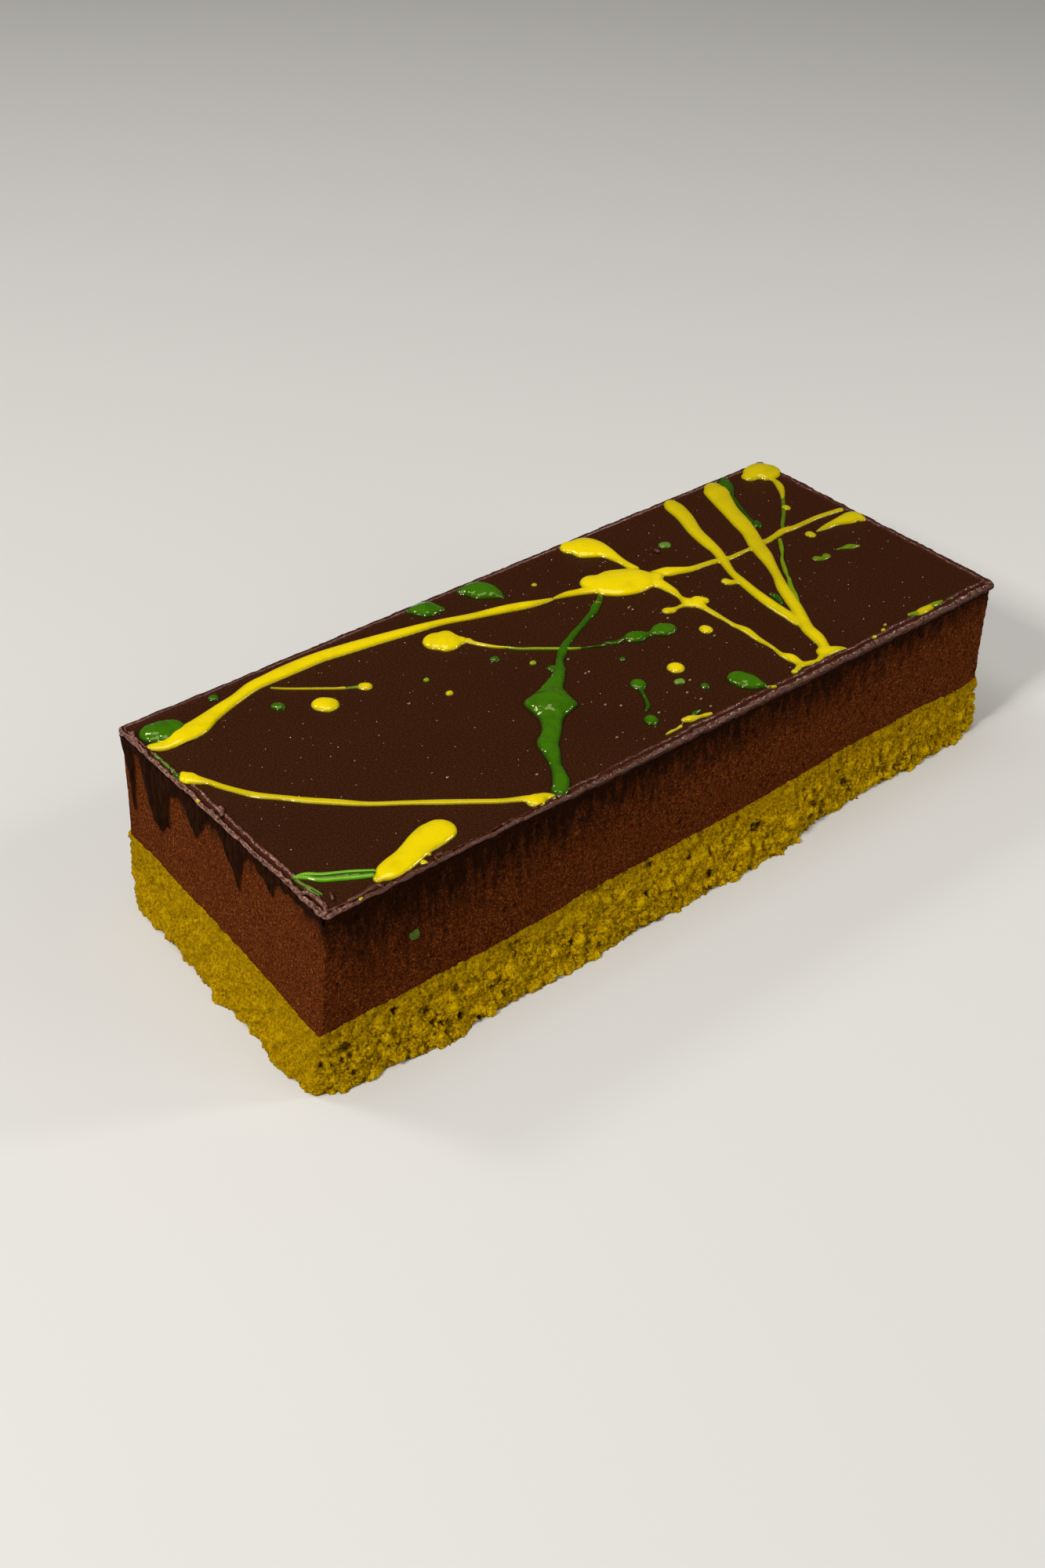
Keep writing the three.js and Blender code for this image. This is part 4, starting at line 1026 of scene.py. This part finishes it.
GREEN = [
    [[18.5, 14.5, 0.8], [17.5, 13.5, 0.8], [15, 12, 1.2], [13, 10.5, 1.1], [10.5, 9.5, 0.9], [7.5, 8, 0.9],
     [5, 7, 1], [2, 5.5, 1], [0, 4.5, 1.1], [-2, 3, 1.2], [-5, 0.5, 1], [-7, -2, 1.3], [-9.5, -4, 1.8],
     [-12.6, -6.2, 2.5], [-14.6, -8.3, 4], [-16.4, -10.2, 5.6], [-17.9, -12, 4.3], [-19.5, -14, 2.7],
     [-21.5, -16.5, 2.2], [-23.5, -18.5, 2.2], [-25.5, -20, 2.3], [-27, -23, 1.9], [-29, -26.5, 1.3],
     [-30, -28.5, 1.5], [-31.5, -31, 1.8], [-33.5, -33, 1.8]],
    [[-7, -1, 0.8], [-8, -0.5, 1.3], [-8.5, 0, 0.7]],
    [[12.6, -2.3, 2], [13.5, -2.6, 2.2], [14.6, -3, 1.9], [16.4, -3.6, 0.9], [18.4, -3.9, 2.2],
     [19.6, -4.2, 2.5], [20.6, -4.6, 2.1]],
    [[76, 35, 1.6], [74.8, 33.2, 1.9], [73.4, 30.2, 1]], [[67, 15, 1.3], [67.4, 16, 1.2]],
    [[-17, 35.8, 1], [-15.6, 35, 2.3], [-14.1, 34.1, 3.1], [-12.5, 33, 2.5], [-11, 32, 0.9]],
    [[-3.3, 34.9, 1.5], [-2, 34.2, 2.8], [-0.6, 33, 3.5], [0.8, 31.1, 3.1], [1.6, 29, 1.8], [2, 27.5, 0.6]],
    [[18.8, -27.4, 2.6], [19.2, -29, 2.9], [19.9, -30.8, 2.3], [20.8, -32.5, 1]],
    [[-82, 31, 3.4], [-80.7, 30.4, 4], [-79.4, 30.2, 3.5]], [[1.7, -15.9, 1.8], [1.6, -16.3, 1.8]],
    [[-4.8, -26.8, 1.6], [-5, -27.3, 1.6]], [[11.6, -24.9, 1.1], [11.6, -25.2, 1.1]],
    [[-86.2, 17, 0.7], [-85.6, 15.4, 1.2], [-84.4, 14.6, 1]], [[-58.8, 23.9, 1.3], [-58.4, 23.3, 1.4]],
    [[-66.9, 34.4, 1.2], [-66.7, 34.2, 1.2]],
]
RIBBON = [
    [[-86.3, -22.7, 0.35], [-84.2, -23.2, 0.5], [-82.2, -25, 0.55], [-80, -26.4, 0.55], [-77.3, -28, 0.55],
     [-74.3, -30.2, 0.5]],
    [[-86.3, -22.7, 0.35], [-84.6, -24, 0.5], [-82.8, -26.3, 0.55], [-80.7, -27.7, 0.55],
     [-78, -29.4, 0.55], [-75.2, -31, 0.5]],
]
RIBBON_MIDDLE = [
    [[-85, -23.3, 0.4], [-83.5, -24.9, 0.7], [-82, -26.2, 0.9], [-80.4, -27, 0.9], [-77.6, -28.7, 0.9],
     [-74.8, -30.6, 0.8]],
]
YELLOW_THREADS = [
    [[-14.5, 18.6, 0.9], [-14.2, 17.4, 0.6], [-13.5, 16, 0.55], [-11.5, 13, 0.4], [-10, 11.5, 0.25]],
    [[-56, 30, 0.12], [-54, 28, 0.2], [-48.5, 23.5, 0.24], [-46, 21.5, 0.26], [-44.6, 20.6, 0.35]],
    [[-5.8, -32.4, 0.2], [-4.4, -32.3, 0.35], [-3.4, -32.4, 0.25], [-1.8, -32.2, 0.4]],
    [[0.2, -31.1, 0.7], [1.3, -31.5, 1.05], [2.5, -31.9, 0.7], [3.4, -32.2, 0.4], [4.5, -32.5, 0.55],
     [5.7, -32.8, 0.4]],
    [[65.8, -33.8, 0.8], [67.5, -33.8, 1.1], [69.8, -33.8, 0.9]], [[21.2, -33.5, 0.4], [22.3, -34.2, 0.4]],
    [[51.6, -34.3, 0.5], [51.8, -34.3, 0.5]], [[55.1, -33.6, 0.45], [55.3, -33.6, 0.45]],
    [[56.9, -32.5, 0.3], [57.1, -32.5, 0.3]], [[29.3, -32.8, 0.7], [29.5, -32.8, 0.7]],
    [[-29.6, 5.7, 0.75], [-29.4, 5.7, 0.75]], [[-63.9, -32.2, 0.6], [-63.8, -32.6, 0.4]],
    [[-66, -33.8, 0.7], [-65.8, -34.4, 0.5]], [[-87.2, 7.4, 0.4], [-87.2, 7, 0.4]],
    [[-87.3, 2.1, 0.35], [-87.3, 1.9, 0.35]], [[-80.6, -34.9, 0.4], [-80.2, -34.9, 0.35]],
]
LIME_THREADS = [
    [[-10, 11.5, 0.3], [-8.5, 9.5, 0.35], [-6, 7.5, 0.4], [-3, 5, 0.4], [0, 2.5, 0.4], [1.5, 1.5, 0.25]],
    [[66, 7, 0.5], [63.5, 4, 0.55], [61.6, 2, 0.35], [60, 0.5, 0.45], [57, -3.5, 0.55], [55.8, -5.2, 0.35],
     [55, -6.5, 0.5], [53, -9, 0.6], [51, -12.5, 0.5], [49.5, -14.5, 0.4]],
    [[64, -33.1, 0.5], [65.4, -33.7, 0.85]], [[70.2, -33.7, 0.8], [71.8, -33.8, 0.8], [73.4, -33.9, 0.4]],
    [[-30.3, 12.4, 0.6], [-30.1, 12.4, 0.6]], [[-9.7, 3.5, 0.7], [-9.5, 3.5, 0.7]],
]
GREEN_THREADS = [
    [[1.5, 1.5, 0.25], [3.5, 0.5, 0.25], [5.5, -0.5, 0.35], [7, -0.5, 0.5], [8.5, -1.5, 0.6],
     [11, -1.5, 0.5]],
    [[73, 30, 0.5], [70.5, 25, 0.5], [68.5, 20.5, 0.5], [67, 17, 0.7]],
    [[47.5, -8.5, 0.6], [47.5, -10, 0.8], [46.5, -12.5, 0.4]],
    [[1.6, -16.8, 0.8], [0.5, -18.5, 0.5], [-0.5, -20.5, 0.4], [-2, -23, 0.5], [-3.5, -24, 0.35]],
    [[5.3, -7.1, 0.7], [5.5, -7.1, 0.7]], [[-14.9, 9.6, 1], [-14.7, 9.6, 1]],
    [[2.2, -31, 0.35], [3.4, -30.7, 0.6], [4.9, -30.7, 0.3]], [[-34, -33.5, 1], [-34.5, -34.2, 0.8]],
]
# Thin pale green smears. The beads along the left rim, at y 18 to 25, are painted glints in pale green-grey.
PALE_SMEARS_AND_GLINTS = [
    [[-86.4, -23.5, 0.2], [-86, -25.4, 0.3], [-85.7, -27, 0.2]],
    [[-85.9, -25.2, 0.15], [-85.3, -27.6, 0.3], [-85, -29.6, 0.2]],
    [[-86.1, -26.4, 0.2], [-85.8, -28.6, 0.25], [-85.5, -29.4, 0.15]],
    [[-85.7, 25.2, 0.3], [-85.9, 24, 0.4], [-85.7, 22.6, 0.25]],
    [[-85.9, 22, 0.3], [-85.8, 20.6, 0.45], [-86, 19.4, 0.25]], [[-85.8, 18.9, 0.3], [-86, 18, 0.4]],
    [[44.1, 21.9, 1.3], [44.5, 21.7, 1.3]], [[76, -34.4, 0.35], [76.3, -34.4, 0.35]],
    [[8.4, -20.5, 0.9], [9, -20.7, 1]],
]
# They wear the rolled edge's material, so they carry its painted glints.
CURLS = [  # scraps of the rolled edge
    [[-87.6, -25.5, 0.3], [-87.8, -27.1, 0.35], [-86.7, -28, 0.4], [-86.5, -30.1, 0.35],
     [-86.6, -32.2, 0.35], [-87, -33.7, 0.4], [-87.5, -34.3, 0.4], [-88.4, -34.2, 0.4],
     [-88.5, -33.1, 0.35], [-88.2, -32.1, 0.3], [-88.1, -30.8, 0.25]],
    [[-83.8, -30.7, 0.25], [-84.4, -32, 0.25]],
    [[-82.5, -34.2, 0.3], [-79.5, -34.2, 0.35], [-77.6, -33.8, 0.4], [-76, -34.1, 0.4],
     [-75.8, -34.8, 0.3]],
    [[-78.3, -35.3, 0.3], [-76.5, -35.5, 0.3]],
    [[-63.8, -35.4, 0.3], [-63.8, -34.3, 0.3], [-63.2, -34, 0.3], [-62.1, -33.9, 0.3]],
    [[-87.2, 2.6, 0.5], [-87.5, 1.4, 0.4], [-87.4, 0.4, 0.5]],
    [[-86.2, 0.6, 0.4], [-85.4, 1.6, 0.35], [-85.3, 2.6, 0.4]], [[86.6, -35.3, 0.6], [87.2, -35.5, 0.5]],
    [[-85.6, 33.6, 0.5], [-86.1, 32.6, 0.45], [-86.2, 30.5, 0.4]], [[40.9, 21, 0.6], [40.9, 20.4, 0.5]],
]
DROPLETS = [
    [-3.2, -0.1], [-3.9, -6.3], [-3, -6.3], [19.9, 7], [20.1, 5.9], [7.2, -24.5], [-14, -27.1],
    [-47.3, -16.5], [-2, -26.1], [-38, 7.8], [7.4, -31], [-33.7, -26.5], [23.5, -1.4], [10.7, -21.6],
    [7.7, -27.9], [-6.1, -19.5], [-8.3, -17.3], [26.2, -12.7],
]
DROPLET_RADIUS = 0.26
print("strokes:", len(YELLOW), "yellow,", len(LIME), "lime and", len(GREEN), "green")

# %% Smooth paths through the points
RISE_BASE, RISE_SHARE, RISE_MOST = 0.32, 0.29, 1.65  # how high a dome of some half width stands
PATH_STEP = 0.4  # mm between the points of a path


def smooth_path(stroke):
    """A close chain of [x, y, half width] along a centripetal spline through a stroke's points."""
    points = np.array(stroke, float)
    points = np.concatenate([[2 * points[0] - points[1]], points, [2 * points[-1] - points[-2]]])
    knots = np.concatenate([[0], np.cumsum(np.linalg.norm(np.diff(points[:, :2], axis=0), axis=1) ** 0.5)])
    chain = []
    for i in range(1, len(points) - 2):
        count = max(1, round(np.linalg.norm(points[i + 1] - points[i]) / PATH_STEP))
        t = np.linspace(knots[i], knots[i + 1], count, endpoint=False)[:, None]
        a = [((knots[i + k] - t) * points[i + k - 1] + (t - knots[i + k - 1]) * points[i + k])
             / (knots[i + k] - knots[i + k - 1]) for k in range(3)]
        b = [((knots[i + k + 1] - t) * a[k] + (t - knots[i + k - 1]) * a[k + 1])
             / (knots[i + k + 1] - knots[i + k - 1]) for k in range(2)]
        chain.append(((knots[i + 1] - t) * b[0] + (t - knots[i]) * b[1]) / (knots[i + 1] - knots[i]))
    return np.concatenate([*chain, points[[-2]]])


def dome_height(spots, paths):
    """How high the domes of some strokes stand above the glaze at each spot, in mm."""
    laid = np.concatenate(paths)
    away = np.linalg.norm(spots[:, None, :2] - laid[None, :, :2], axis=-1)
    rise = np.minimum(RISE_BASE + RISE_SHARE * laid[:, 2], RISE_MOST)
    return (rise * np.sqrt(np.clip(1 - (away / laid[:, 2]) ** 2, 0, 1))).max(axis=1)


green_paths = [smooth_path(stroke) for stroke in GREEN]
print("green strokes:", len(green_paths), "with", sum(map(len, green_paths)), "points")

# %% [markdown]
# ## Drizzle: Geometry Nodes lay the icing
# A poured stroke is a long low dome. The tree turns each path into a tube whose size follows the half
# width, puts a ball on both ends, and flattens all of it onto the glaze. A voxel remesh then melts the
# tubes into one skin, and a little smoothing rounds the creases where strokes meet, as surface tension
# does. Threads too fine for the voxels skip the remesh.

# %% The stroke tree
strokes, inputs = new_tree("Laid strokes", ["Rise Base", "Rise Share", "Rise Most", "Sunk"])
width = add(strokes, "GeometryNodeInputNamedAttribute", {"Name": "half_width"}, data_type="FLOAT")
bed = add(strokes, "GeometryNodeInputNamedAttribute", {"Name": "bed"}, data_type="FLOAT")
path = add(strokes, "GeometryNodeMeshToCurve", {"Mesh": inputs["Geometry"]})
ring = add(strokes, "GeometryNodeCurvePrimitiveCircle", {"Resolution": 16, "Radius": 1})
tube = add(strokes, "GeometryNodeCurveToMesh", {
    "Curve": path, "Profile Curve": ring.outputs["Curve"], "Scale": width, "Fill Caps": True})
ball = add(strokes, "GeometryNodeMeshIcoSphere", {"Radius": 1, "Subdivisions": 3})
tips = add(strokes, "GeometryNodeCurveEndpointSelection")
balls = add(strokes, "GeometryNodeInstanceOnPoints", {
    "Points": path, "Selection": tips, "Instance": ball.outputs["Mesh"], "Scale": width})
whole = add(strokes, "GeometryNodeJoinGeometry", {"Geometry": [tube, balls]})
whole = add(strokes, "GeometryNodeRealizeInstances", {"Geometry": whole})
spot = add(strokes, AXES, add(strokes, "GeometryNodeInputPosition")).outputs
above = add(strokes, MATH, spot["Z"], bed, operation="SUBTRACT")
rise = add(strokes, MATH, width, inputs["Rise Share"], inputs["Rise Base"], operation="MULTIPLY_ADD")
rise = add(strokes, MATH, rise, inputs["Rise Most"], operation="MINIMUM")
upper = add(strokes, MATH, above, 0.0, operation="GREATER_THAN")
reach = add(strokes, "ShaderNodeMix", {0: upper, 2: inputs["Sunk"], 3: rise})
squash = add(strokes, MATH, reach, width, operation="DIVIDE")
flat = add(strokes, MATH, above, squash, bed, operation="MULTIPLY_ADD")
flattened = add(strokes, "ShaderNodeCombineXYZ", spot["X"], spot["Y"], flat)
laid = add(strokes, "GeometryNodeSetPosition", {"Geometry": whole, "Position": flattened})
end_tree(strokes, laid, inputs["Material"])
print("stroke tree:", len(strokes.nodes), "nodes")

# %% Lay the strokes
STROKE_SUNK, STROKE_LIFT = 0.3, -0.1  # how deep a dome's underside and its widest line lie in the glaze
CLIMB_SHARE, EASE_POINTS = 0.6, 13
SETTLE_FACTOR, SETTLE_ROUNDS = 0.5, 14


def lay_strokes(name, paths, lifts, material, voxel=None, low=1.0):
    """One piece of drizzle from paths of [x, y, half width] and how far each point is lifted. voxel is
    the size in mm that melts its strokes together, and low is the share of the usual height."""
    chain = np.concatenate(paths)
    beds = GLAZE_TOP + np.concatenate(lifts)
    ends = np.cumsum([len(path) for path in paths])
    links = [(i, i + 1) for i in range(len(chain) - 1) if i + 1 not in ends]
    marks = {"half_width": chain[:, 2] * MM, "bed": beds * MM}
    piece = new_piece(name, with_height(chain[:, :2], beds), links, [], marks)
    run_tree(piece, strokes, {
        "Rise Base": low * RISE_BASE * MM, "Rise Share": low * RISE_SHARE, "Rise Most": low * RISE_MOST * MM,
        "Sunk": STROKE_SUNK * MM, "Material": material})
    if voxel:  # threads too fine for it stay tubes
        melt = piece.modifiers.new("melt", "REMESH")
        melt.mode, melt.voxel_size = "VOXEL", voxel * MM
        settle = piece.modifiers.new("settle", "SMOOTH")
        settle.factor, settle.iterations = SETTLE_FACTOR, SETTLE_ROUNDS
    keep_plain(piece, material)
    finish_piece(piece, "chocolate_glaze")


def flat_bed(paths, lift=STROKE_LIFT):
    """The same small lift for every point."""
    return [np.full(len(path), lift) for path in paths]


def climb_over(paths, below):
    """Lifts that carry strokes over what already lies there, eased along each path."""
    ease = np.hanning(EASE_POINTS) / np.hanning(EASE_POINTS).sum()
    lifts = []
    for path in paths:
        climb = np.pad(CLIMB_SHARE * dome_height(path, below), EASE_POINTS // 2, "edge")
        lifts.append(np.convolve(climb, ease, "valid") + STROKE_LIFT)
    return lifts


yellow_paths = [smooth_path(stroke) for stroke in YELLOW]
lime_paths = [smooth_path(stroke) for stroke in LIME]
climbs = climb_over(yellow_paths, green_paths)
lay_strokes("green_drizzle", green_paths, flat_bed(green_paths), green_look, 0.22, 1.2)
lay_strokes("yellow_drizzle", yellow_paths, climbs, yellow_look, 0.25)
lay_strokes("lime_drizzle", lime_paths, flat_bed(lime_paths), lime_look, 0.22, 0.8)
dots = [[[x - 0.1, y, DROPLET_RADIUS], [x + 0.1, y, DROPLET_RADIUS]] for x, y in DROPLETS]
for name, lists, lift, look, slot_name in [
        ("yellow_threads", YELLOW_THREADS, 0, yellow_look, "yellow_drizzle"),
        ("lime_threads", LIME_THREADS, 0.05, lime_look, "yellow_drizzle"),
        ("green_threads", GREEN_THREADS + RIBBON_MIDDLE, 0, green_look, "green_drizzle"),
        ("ribbon_ridges", RIBBON, 0.1, ribbon_look, "green_drizzle"),
        ("pale_smears", PALE_SMEARS_AND_GLINTS, 0, pale_look, "green_drizzle"),
        ("edge_curls", CURLS, 0.35, rim_glint_look, "glaze"),
        ("butter_droplets", dots, 0, droplet_glint_look, "yellow_drizzle")]:
    paths = [smooth_path(stroke) for stroke in lists]
    lay_strokes(name, paths, flat_bed(paths, lift), look)

# %% [markdown]
# ## Specks on the glaze
# Tiny specks lie on the top; their pale colour is a painted glint. The scatter tree from the sponge makes
# them too, with smaller and rarer grains on a flat patch the size of the top.

# %% Dust the top
DUSTED = np.array([[-86, -31.5], [86, -31.5], [86, 32], [-86, 32]])  # inside the rolled edge
corners = with_height(place(DUSTED, np.full(4, HEIGHT)), GLAZE_TOP)
specks = new_piece("glaze_specks", corners, [], [(0, 1, 2, 3)], {"coarse": np.ones(4)})
run_tree(specks, scatter, {
    "Density": 0.05 / MM ** 2, "Least Radius": 0.05 * MM, "Most Radius": 0.14 * MM, "Material": glint_speck_look})
keep_plain(specks, glint_speck_look)
finish_piece(specks, "chocolate_glaze")

# %% [markdown]
# ## A fleck on the mousse
# One fleck of green landed on the long side. It is a little ball, flattened against the side and made
# ragged by the same noise as the layers.

# %% Press on the fleck
FLECK_X, FLECK_Z = -69.5, 25.9
FLECK_HALF = np.array([1.25, 0.28, 1.0])
FLECK_NOISE = [(0.35, 0.8, 9, 0)]
fleck_tree, inputs = new_tree("Fleck", ["Radius"])
ball = add(fleck_tree, "GeometryNodeMeshIcoSphere", {"Radius": inputs["Radius"], "Subdivisions": 5})
end_tree(fleck_tree, ball, inputs["Material"])
fleck = new_piece("green_fleck", [])
run_tree(fleck, fleck_tree, {"Radius": 1.0, "Material": fleck_look})
keep_plain(fleck, fleck_look)
round_points = np.zeros(len(fleck.data.vertices) * 3, np.float32)
fleck.data.vertices.foreach_get("co", round_points)
round_points = round_points.reshape(-1, 3)
ragged = 1 + layered(FLECK_NOISE, round_points * FLECK_HALF)[:, None]
side_spot = place(np.array([[FLECK_X, MOUSSE_INSET - HALF_WIDTH]]), np.array([FLECK_Z]))[0]
spread = round_points * ragged * FLECK_HALF + (*side_spot, FLECK_Z)
fleck.data.vertices.foreach_set("co", (spread * MM).reshape(-1).astype(np.float32))
finish_piece(fleck, "chocolate_mousse")
